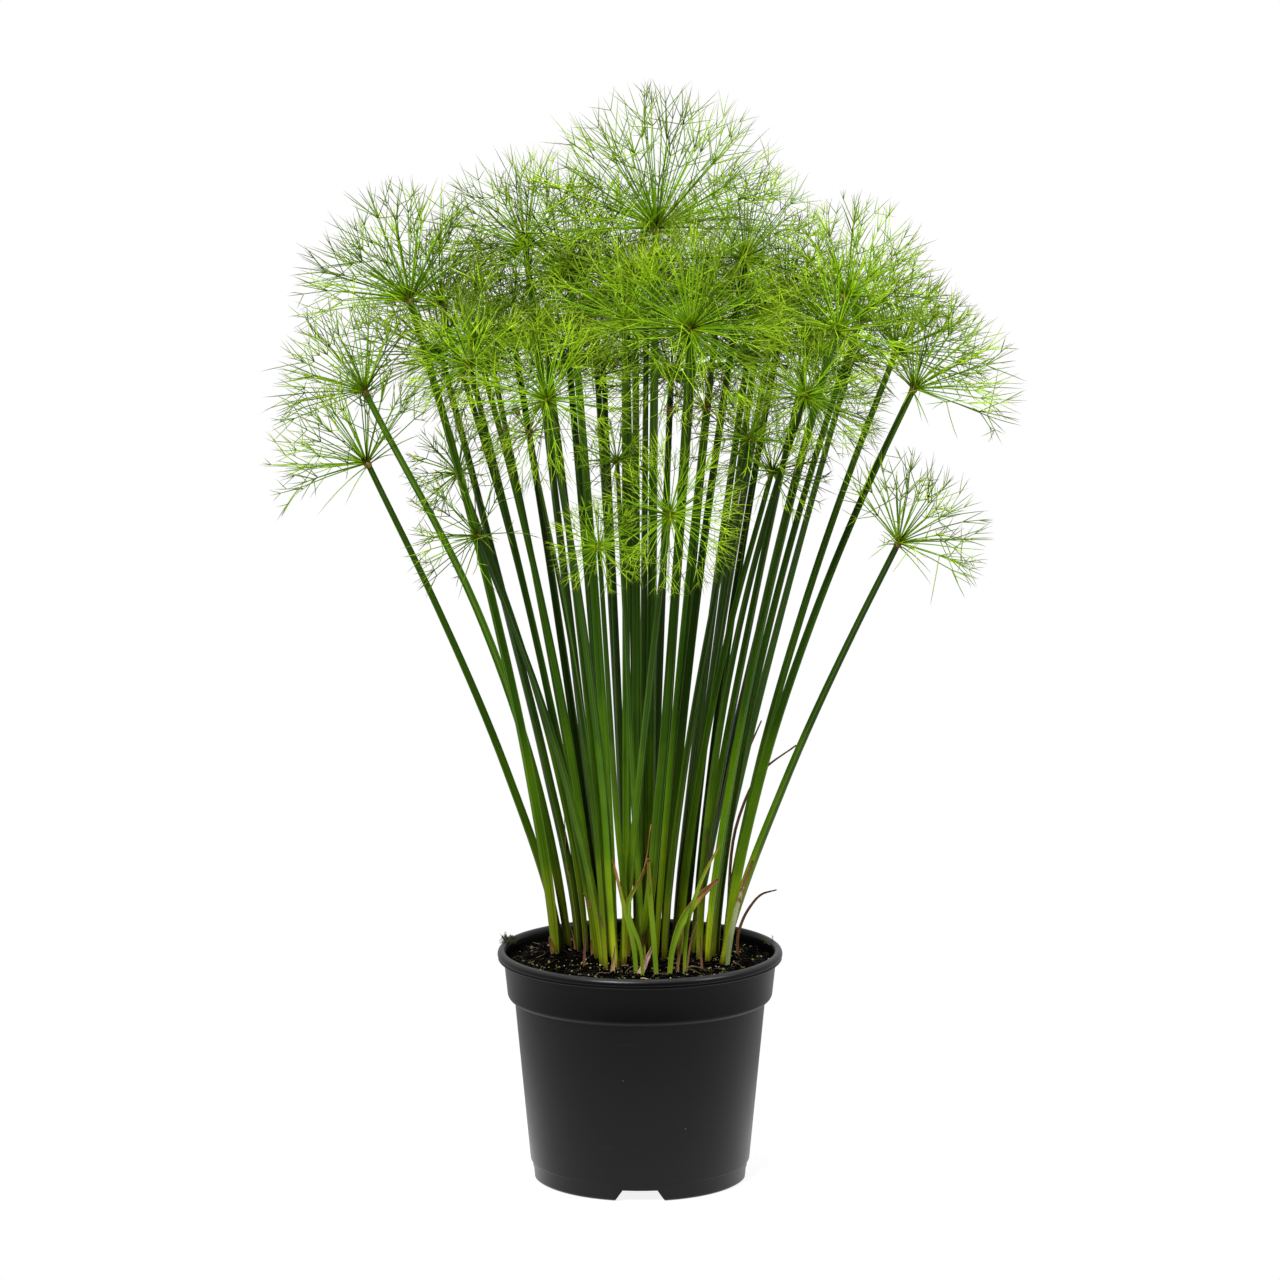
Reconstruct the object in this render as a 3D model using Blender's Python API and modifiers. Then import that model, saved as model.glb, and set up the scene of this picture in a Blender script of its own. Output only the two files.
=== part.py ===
"""Potted dwarf papyrus: a clump of three-sided culms in a black nursery pot.

Metres, +Z up. The origin is on the pot's axis, on the surface that the pot stands on.
+X is to the right, and -Y is the side that faces a viewer in front.
"""

import math
import random
from collections import namedtuple

import bmesh
import bpy
import numpy as np
from mathutils import Quaternion, Vector

# The pot: a 19 cm moulded nursery container, 15.5 cm tall, with a deep collar.
POT_HEIGHT = 0.155
POT_WALL = 0.0016
RIM_RADIUS = 0.095
BEAD_RADIUS = 0.0028
BEAD_STEPS = 4
LIP_DEPTH = 0.007
COLLAR_TOP_RADIUS = 0.0908
COLLAR_BOTTOM_RADIUS = 0.0884
COLLAR_STEP_HEIGHT = 0.1215
COLLAR_ROUND = 0.0044
COLLAR_ROUND_STEPS = 2
SHOULDER_RISE = 0.0048
BODY_TOP_RADIUS = 0.0836
BODY_BOTTOM_RADIUS = 0.0732
FOOT_HEIGHT = 0.0115
FOOT_RADIUS = 0.0717
FOOT_WALL = 0.0045
FOOT_CHAMFER = 0.0022
FLOOR_UNDERSIDE = 0.009
FLOOR_CORNER = 0.0024
SMALL_STEP = 0.0006
POT_SEGMENTS = 32

# Four notches in the foot ring let water out, and a hole in the floor stands by each.
NOTCH_COUNT = 4
NOTCH_TOP_WIDTH = 0.023
NOTCH_BOTTOM_WIDTH = 0.034
NOTCH_HEIGHT = 0.0075
NOTCH_REACH = 0.02
DRAIN_RADIUS = 0.005
DRAIN_SEGMENTS = 12
DRAIN_FROM_AXIS = 0.056

# The compost fills the pot to just under its rim and is a little higher at the middle.
SOIL_EDGE_HEIGHT = 0.1465
SOIL_EDGE_GAP = 0.0006
SOIL_CROWN_HEIGHT = 0.1485
SOIL_CROWN_RADIUS = 0.072
CLEARANCE = 0.0003

# The culms stand in an oval patch of the compost and lean outwards more as they rise.
FOOT_DEPTH_HEIGHT = 0.139
LEVELS = (FOOT_DEPTH_HEIGHT, 0.166, 0.27, 0.38, 0.49)
PATCH_HALF_WIDTH = 0.060
PATCH_HALF_DEPTH = 0.043
FOOT_SHARE_OF_LEAN = 0.30
NECK_DROP = 0.014
LAST_LEVEL_BELOW = 0.042
CULM_GAP = 0.0008
SPREAD_ROUNDS = 200
SOCKET_GROWTH = 0.0006
NEARLY_ZERO = 1e-12

# A culm is stouter under a larger umbel: circumradii of its three-sided foot and of the knob.
FOOT_LEAST = 0.0018
FOOT_GAIN = 0.028
CULM_TAPER = 0.38
SEEN_HALF_WIDTH = 0.82
KNOB_LEAST = 0.0022
KNOB_GAIN = 0.026

# An umbel is a small knob with rays all over it but on its underside. The knob's faces that look
# up are split in three, so that the top has more rays. The limits are cosines from the umbel's axis.
SPLIT_FACES_ABOVE = 0.1
BACK_SPLIT_FACES_ABOVE = 0.5
RAYS_ABOVE = -0.5
OUTER_RAYS_ABOVE = -0.15
OUTER_FROM = 0.13
SPLIT_RISE = 0.2
RAY_JITTER = math.radians(6)
RAY_SHORTEST_SHARE = 0.86
RAY_GAP = 0.0003
RAY_WAY_TRIES = 8
RAY_LENGTH_TRIES = 10
RAY_SHORTER = 0.85
GOLDEN_ANGLE = math.radians(137.5)

# Each shoot that shows from the front: its hub's x, y and z, its umbel's radius, how many degrees
# the umbel nods outwards past the lean of its culm, the culm's bow, and its foot's x and y. A culm
# leans out with that power of its height, so a bow of 1 is a straight culm. Feet stand in bunches.
FRONT_CULMS = (
    (0.011, 0.020, 0.634, 0.097, 0, 1.2, 0.004, 0.012),
    (-0.151, 0.010, 0.588, 0.079, 4, 1.39, -0.056, 0.010),
    (-0.182, 0.030, 0.525, 0.067, 6, 1.65, -0.049, 0.033),
    (-0.181, 0.030, 0.477, 0.067, 8, 1.3, -0.052, 0.022),
    (-0.105, -0.070, 0.443, 0.050, 28, 1.48, -0.024, -0.022),
    (-0.047, 0.040, 0.603, 0.077, 4, 1.43, -0.016, 0.002),
    (-0.059, -0.120, 0.538, 0.063, 30, 1.49, -0.0155, -0.033),
    (-0.071, -0.085, 0.512, 0.020, 10, 1.6, -0.0205, -0.037),
    (0.032, -0.130, 0.584, 0.073, 32, 0.6, -0.005, -0.008),
    (0.097, 0.040, 0.586, 0.057, 6, 1.4, 0.036, 0.024),
    (0.134, -0.020, 0.593, 0.067, 6, 1.55, 0.047, -0.003),
    (0.145, 0.030, 0.571, 0.063, 6, 1.56, 0.051, 0.012),
    (0.127, -0.060, 0.575, 0.057, 4, 1.43, 0.043, -0.012),
    (0.168, 0.020, 0.552, 0.063, 6, 1.46, 0.056, 0.004),
    (0.178, -0.030, 0.534, 0.070, 8, 1.55, 0.057, -0.014),
    (0.105, -0.110, 0.539, 0.050, 28, 1.9, 0.041, -0.010),
    (0.085, -0.070, 0.485, 0.041, 16, 1.6, 0.026, 0.008),
    (0.168, -0.045, 0.435, 0.061, 6, 1.26, 0.055, -0.020),
    (0.019, -0.148, 0.468, 0.053, 30, 1.25, -0.010, -0.018),
    (-0.026, -0.140, 0.447, 0.033, 20, 1.2, -0.012, -0.026),
    (-0.015, -0.060, 0.491, 0.030, 10, 1.2, -0.003, -0.011),
    (-0.109, -0.080, 0.555, 0.048, 18, 1.2, -0.027, -0.006),
    (-0.076, 0.050, 0.619, 0.067, 4, 1.0, -0.022, 0.020),
    (0.042, -0.040, 0.523, 0.027, 8, 1.2, 0.010, 0.000),
    (-0.132, 0.055, 0.579, 0.060, 6, 1.58, -0.041, 0.034),
    (0.069, 0.020, 0.614, 0.067, 4, 1.4, 0.020, 0.020),
    (-0.010, -0.050, 0.581, 0.060, 10, 1.2, -0.008, -0.002),
    (0.070, -0.095, 0.510, 0.040, 16, 1.44, 0.016, -0.006),
    (-0.121, 0.040, 0.469, 0.037, 20, 1.59, -0.036, 0.018),
    (-0.107, -0.030, 0.565, 0.053, 10, 1.5, -0.030, 0.010),
)

# The far side is filled by rule. Each culm there stands where the others leave the widest gap,
# as seen from the front at mid height, and its hub is lower towards the edge of the clump.
BACK_CULM_COUNT = 19
GAP_HEIGHT = 0.36
GAP_LEFT = -0.086
GAP_RIGHT = 0.092
SEEN_FROM = 3.6
HUB_ROUNDS = 6
BACK_NEAR = 0.022
BACK_FAR = 0.140
BACK_TOP_HEIGHT = 0.622
BACK_HEIGHT_FALL = 3.4
BACK_HEIGHT_STEP = 0.02
BACK_UMBEL_RADIUS = 0.061
BACK_UMBEL_SPREAD = 0.012
BACK_NOD = 8
BACK_BOW = 1.2
HUB_SPACING = 0.034

# Loose leaves and dry strips at the clump's foot. Points are x and z from foot to tip, each with
# half the strap's width there; y is where the foot starts, and way is -1 for one that stands out
# to the front and 1 for one that stands out to the back.
Leaf = namedtuple("Leaf", "points half_widths y way")
STRAP_THICKNESS = 0.0011
LEAVES = {
    "leaf_blade_left": Leaf(
        ((-0.002, 0.139), (-0.004, 0.166), (-0.011, 0.192), (-0.018, 0.222)),
        (0.0022, 0.0022, 0.0018, 0.0007), -0.050, -1),
    "leaf_blade_curled": Leaf(
        ((0.004, 0.139), (0.003, 0.166), (-0.006, 0.196), (0.003, 0.222), (0.007, 0.252)),
        (0.0022, 0.0022, 0.0020, 0.0014, 0.0006), -0.056, -1),
    "leaf_stub": Leaf(
        ((0.012, 0.139), (0.010, 0.166), (0.007, 0.200), (0.0055, 0.229)),
        (0.0026, 0.0026, 0.0024, 0.0020), -0.050, -1),
    "leaf_blade_broad": Leaf(
        ((0.021, 0.139), (0.023, 0.166), (0.028, 0.184), (0.038, 0.201), (0.051, 0.214)),
        (0.0022, 0.0024, 0.0030, 0.0030, 0.0012), -0.050, -1),
    "leaf_blade_right": Leaf(
        ((0.031, 0.139), (0.032, 0.166), (0.035, 0.196), (0.043, 0.222), (0.052, 0.236)),
        (0.0020, 0.0020, 0.0020, 0.0016, 0.0006), -0.046, -1),
    "torn_sheath": Leaf(
        ((0.058, 0.139), (0.060, 0.166), (0.066, 0.200), (0.074, 0.222)),
        (0.0022, 0.0022, 0.0016, 0.0006), -0.022, -1),
    "dry_strand_low": Leaf(
        ((0.066, 0.139), (0.066, 0.166), (0.073, 0.182), (0.081, 0.191), (0.091, 0.194)),
        (0.0010, 0.0010, 0.0009, 0.0008, 0.0006), 0.004, -1),
    "dry_strand_high": Leaf(
        ((0.058, 0.139), (0.059, 0.180), (0.066, 0.240), (0.080, 0.270), (0.104, 0.289)),
        (0.0010, 0.0010, 0.0010, 0.0009, 0.0006), 0.020, 1),
    "dry_strand_mid": Leaf(
        ((0.046, 0.139), (0.047, 0.180), (0.056, 0.230), (0.066, 0.268), (0.081, 0.303)),
        (0.0010, 0.0010, 0.0011, 0.0012, 0.0006), 0.030, 1),
}
LEAF_STEP = 0.001


def clear_scene():
    for old in list(bpy.data.objects):
        bpy.data.objects.remove(old, do_unlink=True)


def new_collection(name):
    collection = bpy.data.collections.new(name)
    bpy.context.scene.collection.children.link(collection)
    return collection


def material(name, colour, roughness):
    made = bpy.data.materials.new(name)
    made.use_nodes = True
    shader = made.node_tree.nodes["Principled BSDF"]
    shader.inputs["Base Color"].default_value = (*colour, 1.0)
    shader.inputs["Roughness"].default_value = roughness
    shader.inputs["Metallic"].default_value = 0.0
    return made


def add_object(name, bm, collection, finish=None):
    """Turn a bmesh into a named object, with its faces pointing out."""
    mesh = bpy.data.meshes.new(name)
    bmesh.ops.recalc_face_normals(bm, faces=bm.faces)
    bm.to_mesh(mesh)
    bm.free()
    made = bpy.data.objects.new(name, mesh)
    if finish:
        mesh.materials.append(finish)
    collection.objects.link(made)
    return made


def add_cutter(name, bm, collection):
    cutter = add_object(name, bm, collection)
    cutter.hide_render = True
    cutter.display_type = "WIRE"
    return cutter


def cut(target, cutters):
    boolean = target.modifiers.new("cut", "BOOLEAN")
    boolean.operation = "DIFFERENCE"
    boolean.solver = "EXACT"
    boolean.operand_type = "COLLECTION"
    boolean.collection = cutters


def arc(centre_radius, centre_height, radius, first, last, steps):
    """Points of a round in a turned profile, from one angle to another in degrees."""
    angles = [math.radians(first + (last - first) * k / steps) for k in range(steps + 1)]
    return [(centre_radius + radius * math.cos(a), centre_height + radius * math.sin(a)) for a in angles]


# Points of the pot's inner side from its floor to its rim, which the compost follows too.
FLOOR_TOP = FLOOR_UNDERSIDE + POT_WALL
POT_INSIDE = (
    (BODY_BOTTOM_RADIUS - POT_WALL - FLOOR_CORNER, FLOOR_TOP),
    (BODY_BOTTOM_RADIUS - POT_WALL, FLOOR_TOP + FLOOR_CORNER),
    (BODY_TOP_RADIUS - POT_WALL, COLLAR_STEP_HEIGHT),
    (COLLAR_BOTTOM_RADIUS - POT_WALL, COLLAR_STEP_HEIGHT + SHOULDER_RISE),
    (COLLAR_TOP_RADIUS - POT_WALL, POT_HEIGHT - LIP_DEPTH),
)


def build_pot(parts, cutters):
    """Turn the pot's wall as one profile, then cut its notches and drain holes."""
    bead = arc(RIM_RADIUS - BEAD_RADIUS, POT_HEIGHT - BEAD_RADIUS, BEAD_RADIUS, 90, -90, BEAD_STEPS)
    shoulder = arc(COLLAR_BOTTOM_RADIUS - COLLAR_ROUND, COLLAR_STEP_HEIGHT + COLLAR_ROUND,
                   COLLAR_ROUND, 0, -90, COLLAR_ROUND_STEPS)
    profile = [
        (0.0, FLOOR_TOP),
        *POT_INSIDE,
        *bead,
        (COLLAR_TOP_RADIUS, POT_HEIGHT - 2 * BEAD_RADIUS - SMALL_STEP),
        *shoulder,
        (BODY_TOP_RADIUS, COLLAR_STEP_HEIGHT - SMALL_STEP),
        (BODY_BOTTOM_RADIUS, FOOT_HEIGHT + SMALL_STEP),
        (FOOT_RADIUS, FOOT_HEIGHT - SMALL_STEP),
        (FOOT_RADIUS, FOOT_CHAMFER),
        (FOOT_RADIUS - FOOT_CHAMFER, 0.0),
        (FOOT_RADIUS - FOOT_WALL, 0.0),
        (FOOT_RADIUS - FOOT_WALL, FLOOR_UNDERSIDE),
        (0.0, FLOOR_UNDERSIDE),
    ]
    mesh = bpy.data.meshes.new("pot")
    links = [(k, k + 1) for k in range(len(profile) - 1)]
    mesh.from_pydata([(radius, 0.0, height) for radius, height in profile], links, [])
    mesh.materials.append(material("black_plastic", (0.022, 0.023, 0.024), 0.42))
    pot = bpy.data.objects.new("pot", mesh)
    parts.objects.link(pot)
    screw = pot.modifiers.new("turn", "SCREW")
    screw.steps = POT_SEGMENTS
    screw.render_steps = POT_SEGMENTS
    screw.use_merge_vertices = True
    screw.merge_threshold = 0.00001
    screw.use_smooth_shade = True

    for k in range(NOTCH_COUNT):
        turn = math.radians(360 / NOTCH_COUNT * k - 90)
        bm = bmesh.new()
        bmesh.ops.create_cube(bm, size=1.0)
        for v in bm.verts:
            width = NOTCH_TOP_WIDTH if v.co.z > 0 else NOTCH_BOTTOM_WIDTH
            height = NOTCH_HEIGHT if v.co.z > 0 else -SMALL_STEP
            v.co = Vector((v.co.x * NOTCH_REACH + FOOT_RADIUS, v.co.y * width, height))
        notch = add_cutter(f"notch_{k + 1}", bm, cutters)
        notch.rotation_euler.z = turn
        bm = bmesh.new()
        bmesh.ops.create_cone(bm, cap_ends=True, segments=DRAIN_SEGMENTS, radius1=DRAIN_RADIUS,
                              radius2=DRAIN_RADIUS, depth=4 * POT_WALL)
        drain = add_cutter(f"drain_{k + 1}", bm, cutters)
        drain.location = (DRAIN_FROM_AXIS * math.cos(turn), DRAIN_FROM_AXIS * math.sin(turn),
                          FLOOR_UNDERSIDE + POT_WALL / 2)
    cut(pot, cutters)


def grow(bm, face, rings):
    """Extrude one face along rings of a centre and a radius, and return the last face."""
    for centre, radius in rings:
        face = bmesh.ops.extrude_discrete_faces(bm, faces=[face])["faces"][0]
        middle = face.calc_center_median()
        for v in face.verts:
            outwards = v.co - middle
            outwards.z = 0.0
            v.co = Vector(centre) + outwards.normalized() * radius
    return face


def build_soil(parts, cutters):
    """The compost: a cone that fits the pot's body, grown up into the collar to a low crown."""
    (low_radius, low), _, (body_radius, step), (collar_radius, collar), (top_radius, _) = POT_INSIDE
    low += CLEARANCE
    bm = bmesh.new()
    bmesh.ops.create_cone(bm, cap_ends=True, segments=POT_SEGMENTS, radius1=low_radius - CLEARANCE,
                          radius2=body_radius - CLEARANCE, depth=step - low)
    bmesh.ops.translate(bm, verts=bm.verts, vec=(0.0, 0.0, (step + low) / 2))
    top = max(bm.faces, key=lambda face: face.calc_center_median().z)
    grow(bm, top, (
        ((0.0, 0.0, collar + CLEARANCE), collar_radius - CLEARANCE),
        ((0.0, 0.0, SOIL_EDGE_HEIGHT), top_radius - SOIL_EDGE_GAP),
        ((0.0, 0.0, SOIL_CROWN_HEIGHT), SOIL_CROWN_RADIUS),
    ))
    soil = add_object("soil", bm, parts, material("peat", (0.018, 0.013, 0.009), 0.95))
    cut(soil, cutters)


def add_socket(name, corners, cutters):
    """Cut room for a foot in the compost: the hull of the foot's corners, a little larger."""
    bm = bmesh.new()
    for ring in corners:
        middle = sum(ring, Vector()) / len(ring)
        for corner in ring:
            outwards = (corner - middle).normalized()
            bm.verts.new(corner + outwards * SOCKET_GROWTH)
    lowest = min(v.co.z for v in bm.verts)
    for v in bm.verts:
        if v.co.z < lowest + CLEARANCE:
            v.co.z -= CLEARANCE
    hull = bmesh.ops.convex_hull(bm, input=bm.verts)
    bmesh.ops.delete(bm, geom=hull["geom_interior"] + hull["geom_unused"], context="VERTS")
    add_cutter(name, bm, cutters)


def gaps(start, end, radii, starts, ends, start_radii, end_radii):
    """Clear space between one tapered rod and many others, each given by its two ends."""
    along, alongs, between = end - start, ends - starts, start - starts
    a = along @ along
    e = np.maximum((alongs * alongs).sum(axis=1), NEARLY_ZERO)
    b = alongs @ along
    c = between @ along
    f = (alongs * between).sum(axis=1)
    s = np.clip((b * f - c * e) / np.maximum(a * e - b * b, NEARLY_ZERO), 0, 1)
    t = np.clip((b * s + f) / e, 0, 1)
    s = np.clip((b * t - c) / a, 0, 1)
    apart = between + s[:, None] * along - t[:, None] * alongs
    reach = radii[0] + (radii[1] - radii[0]) * s + start_radii + (end_radii - start_radii) * t
    return np.linalg.norm(apart, axis=1) - reach


class Rods:
    """All tapered rods placed so far, which later ones stay clear of."""

    def __init__(self):
        self.rows = np.zeros((0, 9))

    def add(self, start, end, start_radius, end_radius, owner):
        row = (*start, *end, start_radius, end_radius, owner)
        self.rows = np.vstack([self.rows, row])

    def gap(self, start, end, start_radius, end_radius, owner):
        """The least clear space to the rods of other owners."""
        others = self.rows[self.rows[:, 8] != owner]
        found = gaps(np.array(start), np.array(end), (start_radius, end_radius),
                     others[:, 0:3], others[:, 3:6], others[:, 6], others[:, 7])
        return found.min()


def height_share(hub_height):
    """How far up a culm the height is at which gaps are looked for."""
    return (GAP_HEIGHT - LEVELS[0]) / (hub_height - LEVELS[0])


def seen_share(y, z, bow):
    """How far to the side a back culm is seen there from the front, as a share of its hub's x."""
    share = FOOT_SHARE_OF_LEAN + (1.0 - FOOT_SHARE_OF_LEAN) * height_share(z) ** bow
    return share * (1.0 - y * share / SEEN_FROM)


def seen_edges(row):
    """The left and right edge of a culm at that height, as seen from the front."""
    x, y, z, umbel, _, bow, foot_x, foot_y = row
    share = height_share(z) ** bow
    depth = foot_y + (y - foot_y) * share
    middle = (foot_x + (x - foot_x) * share) * (1.0 - depth / SEEN_FROM)
    half = culm_radius(umbel, height_share(z)) * SEEN_HALF_WIDTH
    return middle - half, middle + half


def widest_gap(rows):
    """The middle of the widest gap between culms, as seen from the front."""
    reached, widest, middle = GAP_LEFT, 0.0, 0.0
    for left, right in sorted(map(seen_edges, rows)) + [(GAP_RIGHT, GAP_RIGHT)]:
        gap = min(left, GAP_RIGHT) - reached
        if gap > widest:
            widest, middle = gap, reached + gap / 2
        reached = max(reached, right)
    return middle


def culm_table():
    """Every shoot as hub x, y, z, umbel radius, nod, bow, foot x and y: those in front, then by rule."""
    rows = [list(row) for row in FRONT_CULMS]
    for k in range(BACK_CULM_COUNT):
        turn = k * GOLDEN_ANGLE
        y = BACK_NEAR + (BACK_FAR - BACK_NEAR) * (turn / (2 * math.pi) % 1.0)
        gap = widest_gap(rows)
        z = BACK_TOP_HEIGHT
        for _ in range(HUB_ROUNDS):
            x = gap / seen_share(y, z, BACK_BOW)
            z = BACK_TOP_HEIGHT - BACK_HEIGHT_FALL * (x * x + y * y) - BACK_HEIGHT_STEP * (k % 3)
        umbel = BACK_UMBEL_RADIUS + BACK_UMBEL_SPREAD * math.cos(2 * turn)
        rows.append([x, y, z, umbel, BACK_NOD, BACK_BOW, x * FOOT_SHARE_OF_LEAN, y * FOOT_SHARE_OF_LEAN])
    table = np.array(rows)
    loose = np.zeros((len(table), 3))
    loose[len(FRONT_CULMS):, 1:] = 1.0
    table[:, :3] = push_apart(table[:, :3], np.full(len(table), HUB_SPACING / 2), 0.0, loose)
    return table


def push_apart(points, radii, gap, loose=1.0):
    """Move points until no two of them are too close. Only loose ones move, each way by its share."""
    share = 0.5 * np.asarray(loose)
    for _ in range(SPREAD_ROUNDS):
        away = points[:, None] - points[None]
        distance = np.linalg.norm(away, axis=2) + np.eye(len(points))
        shortfall = np.clip(radii[:, None] + radii[None] + gap - distance, 0, None)
        np.fill_diagonal(shortfall, 0)
        points += share * (shortfall[:, :, None] * away / distance[:, :, None]).sum(axis=1)
    return points


def foot_radius(umbel):
    return FOOT_LEAST + FOOT_GAIN * umbel


def culm_radius(umbel, share):
    """Circumradius at a share of the way from the foot to the hub."""
    return foot_radius(umbel) * (1.0 - CULM_TAPER * share)


def knob_radius(umbel):
    return KNOB_LEAST + KNOB_GAIN * umbel


def culm_paths(table):
    """The line of each culm, as arrays of points from the foot to the hub."""
    hubs, umbels, bows, feet = table[:, :3], table[:, 3], table[:, 5], table[:, 6:].copy()
    stretch = np.linalg.norm(feet / (PATCH_HALF_WIDTH, PATCH_HALF_DEPTH), axis=1)
    feet /= np.maximum(stretch, 1.0)[:, None]
    feet = push_apart(feet, foot_radius(umbels), CULM_GAP + 2 * SOCKET_GROWTH)
    lean = hubs[:, :2] - feet
    shares = (np.array(LEVELS)[:, None] - LEVELS[0]) / (hubs[:, 2] - LEVELS[0])
    points = feet + lean * np.clip(shares, 0.0, 1.0)[:, :, None] ** bows[:, None]
    radii = culm_radius(umbels, shares)
    alive = hubs[:, 2] > np.array(LEVELS)[:, None] + LAST_LEVEL_BELOW
    for _ in range(SPREAD_ROUNDS):
        for level in range(len(LEVELS) - 1):
            both = np.flatnonzero(alive[level + 1])
            lower, upper = points[level, both], points[level + 1, both]
            push_stretches_apart(lower, upper, radii[level, both])
            points[level, both], points[level + 1, both] = lower, upper
    paths = []
    for culm, hub in enumerate(hubs):
        path = [Vector((*points[level, culm], LEVELS[level])) for level in np.flatnonzero(alive[:, culm])]
        hub = Vector(hub)
        path.append(hub + (path[-1] - hub).normalized() * NECK_DROP)
        path.append(hub)
        paths.append(path)
    return paths


def push_stretches_apart(lower, upper, radii):
    """Move culms apart at both ends of a stretch, in place, where two come too close between them."""
    start = lower[:, None] - lower[None]
    change = upper[:, None] - upper[None] - start
    t = np.clip(-(start * change).sum(axis=2) / np.maximum((change * change).sum(axis=2), NEARLY_ZERO), 0, 1)
    nearest = start + t[:, :, None] * change
    distance = np.linalg.norm(nearest, axis=2) + np.eye(len(lower))
    shortfall = np.clip(radii[:, None] + radii[None] + CULM_GAP - distance, 0, None)
    np.fill_diagonal(shortfall, 0)
    push = 0.5 * (shortfall / distance)[:, :, None] * nearest
    lower += ((1.0 - t)[:, :, None] * push).sum(axis=1)
    upper += (t[:, :, None] * push).sum(axis=1)


def umbel_axis(path, nod):
    """The way an umbel faces: along its culm, and tipped outwards from the clump."""
    along = (path[-1] - path[-2]).normalized()
    outwards = Vector((path[-1].x, path[-1].y, 0.0))
    hinge = Vector((0.0, 0.0, 1.0)).cross(outwards)
    if hinge.length < NEARLY_ZERO:
        return along
    return Quaternion(hinge.normalized(), math.radians(nod)) @ along


def build_culm(number, path, umbel, nod, rods, parts, cutters, finish):
    """One shoot: a knob, the three-sided culm grown down from its underside, and its rays."""
    hub = path[-1]
    axis = umbel_axis(path, nod)
    bm = bmesh.new()
    bmesh.ops.create_icosphere(bm, subdivisions=1, radius=knob_radius(umbel))
    underside = min(bm.faces, key=lambda face: face.calc_center_median().z)
    turn = underside.normal.rotation_difference(-axis)
    bmesh.ops.rotate(bm, verts=bm.verts, cent=(0.0, 0.0, 0.0), matrix=turn.to_matrix())
    bmesh.ops.translate(bm, verts=bm.verts, vec=hub)

    cosines = {face: (face.calc_center_median() - hub).normalized().dot(axis) for face in bm.faces}
    split = SPLIT_FACES_ABOVE if number <= len(FRONT_CULMS) else BACK_SPLIT_FACES_ABOVE
    lowest = OUTER_RAYS_ABOVE if abs(hub.x) > OUTER_FROM else RAYS_ABOVE
    upper = [face for face, cosine in cosines.items() if cosine > split]
    lower = [face for face, cosine in cosines.items() if lowest < cosine <= split]
    height = hub.z - path[0].z
    shares = [(point.z - path[0].z) / height for point in path[:-1]]
    rings = [(point, culm_radius(umbel, share)) for point, share in zip(path[:-1], shares)]
    foot = grow(bm, underside, reversed(rings))
    low_ring = [v.co.copy() for v in foot.verts]
    slide = path[1] - path[0]
    add_socket(f"socket_{number:02d}", (low_ring, [corner + slide for corner in low_ring]), cutters)

    buds = bmesh.ops.poke(bm, faces=upper, offset=knob_radius(umbel) * SPLIT_RISE)["faces"] + lower
    chance = random.Random(number)
    for bud in buds:
        start = bud.calc_center_median()
        base = max((v.co - start).length for v in bud.verts)
        straight = (start - hub).normalized()
        tip = clear_tip(start, straight, base, umbel, number, rods, chance)
        if tip is None:
            continue
        rods.add(start, tip, base, 0.0, number)
        bmesh.ops.poke(bm, faces=[bud])["verts"][0].co = tip
    add_object(f"stem_{number:02d}", bm, parts, finish)


def clear_tip(start, straight, base, umbel, owner, rods, chance):
    """Where a ray ends: near its own direction, and shorter only where others leave no way."""
    reach = umbel * chance.uniform(RAY_SHORTEST_SHARE, 1.0)
    for _ in range(RAY_LENGTH_TRIES):
        for _ in range(RAY_WAY_TRIES):
            side = straight.orthogonal().normalized()
            side.rotate(Quaternion(straight, chance.uniform(0.0, 2 * math.pi)))
            way = Quaternion(side, chance.uniform(0.0, RAY_JITTER)) @ straight
            tip = start + way * reach
            if rods.gap(start, tip, base, 0.0, owner) > RAY_GAP:
                return tip
        reach *= RAY_SHORTER
    return None


def leaf_path(leaf, owner, rods):
    """Draw a leaf's points away from the clump's middle until each stretch is clear of the culms."""
    path = [Vector((x, leaf.y, z)) for x, z in leaf.points]
    widths = leaf.half_widths
    for k in range(1, len(path)):
        path[k].y = path[k - 1].y
        while rods.gap(path[k - 1], path[k], widths[k - 1], widths[k], owner) < CLEARANCE:
            path[k].y += leaf.way * LEAF_STEP
            if k == 1:
                path[0].y = path[1].y
        rods.add(path[k - 1], path[k], widths[k - 1], widths[k], owner)
    return path


# The four corners of a strap's section, as shares of its half width and half thickness.
SECTION_CORNERS = ((-1, -1), (1, -1), (1, 1), (-1, 1))


def strap_section(path, k, half_width, way):
    """The corners of a leaf's section at one point, square to the path there."""
    along = (path[min(k + 1, len(path) - 1)] - path[max(k - 1, 0)]).normalized()
    side = along.cross(Vector((0.0, way, 0.0))).normalized()
    facing = side.cross(along)
    half_thickness = STRAP_THICKNESS / 2
    return [path[k] + side * half_width * a + facing * half_thickness * b for a, b in SECTION_CORNERS]


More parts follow.
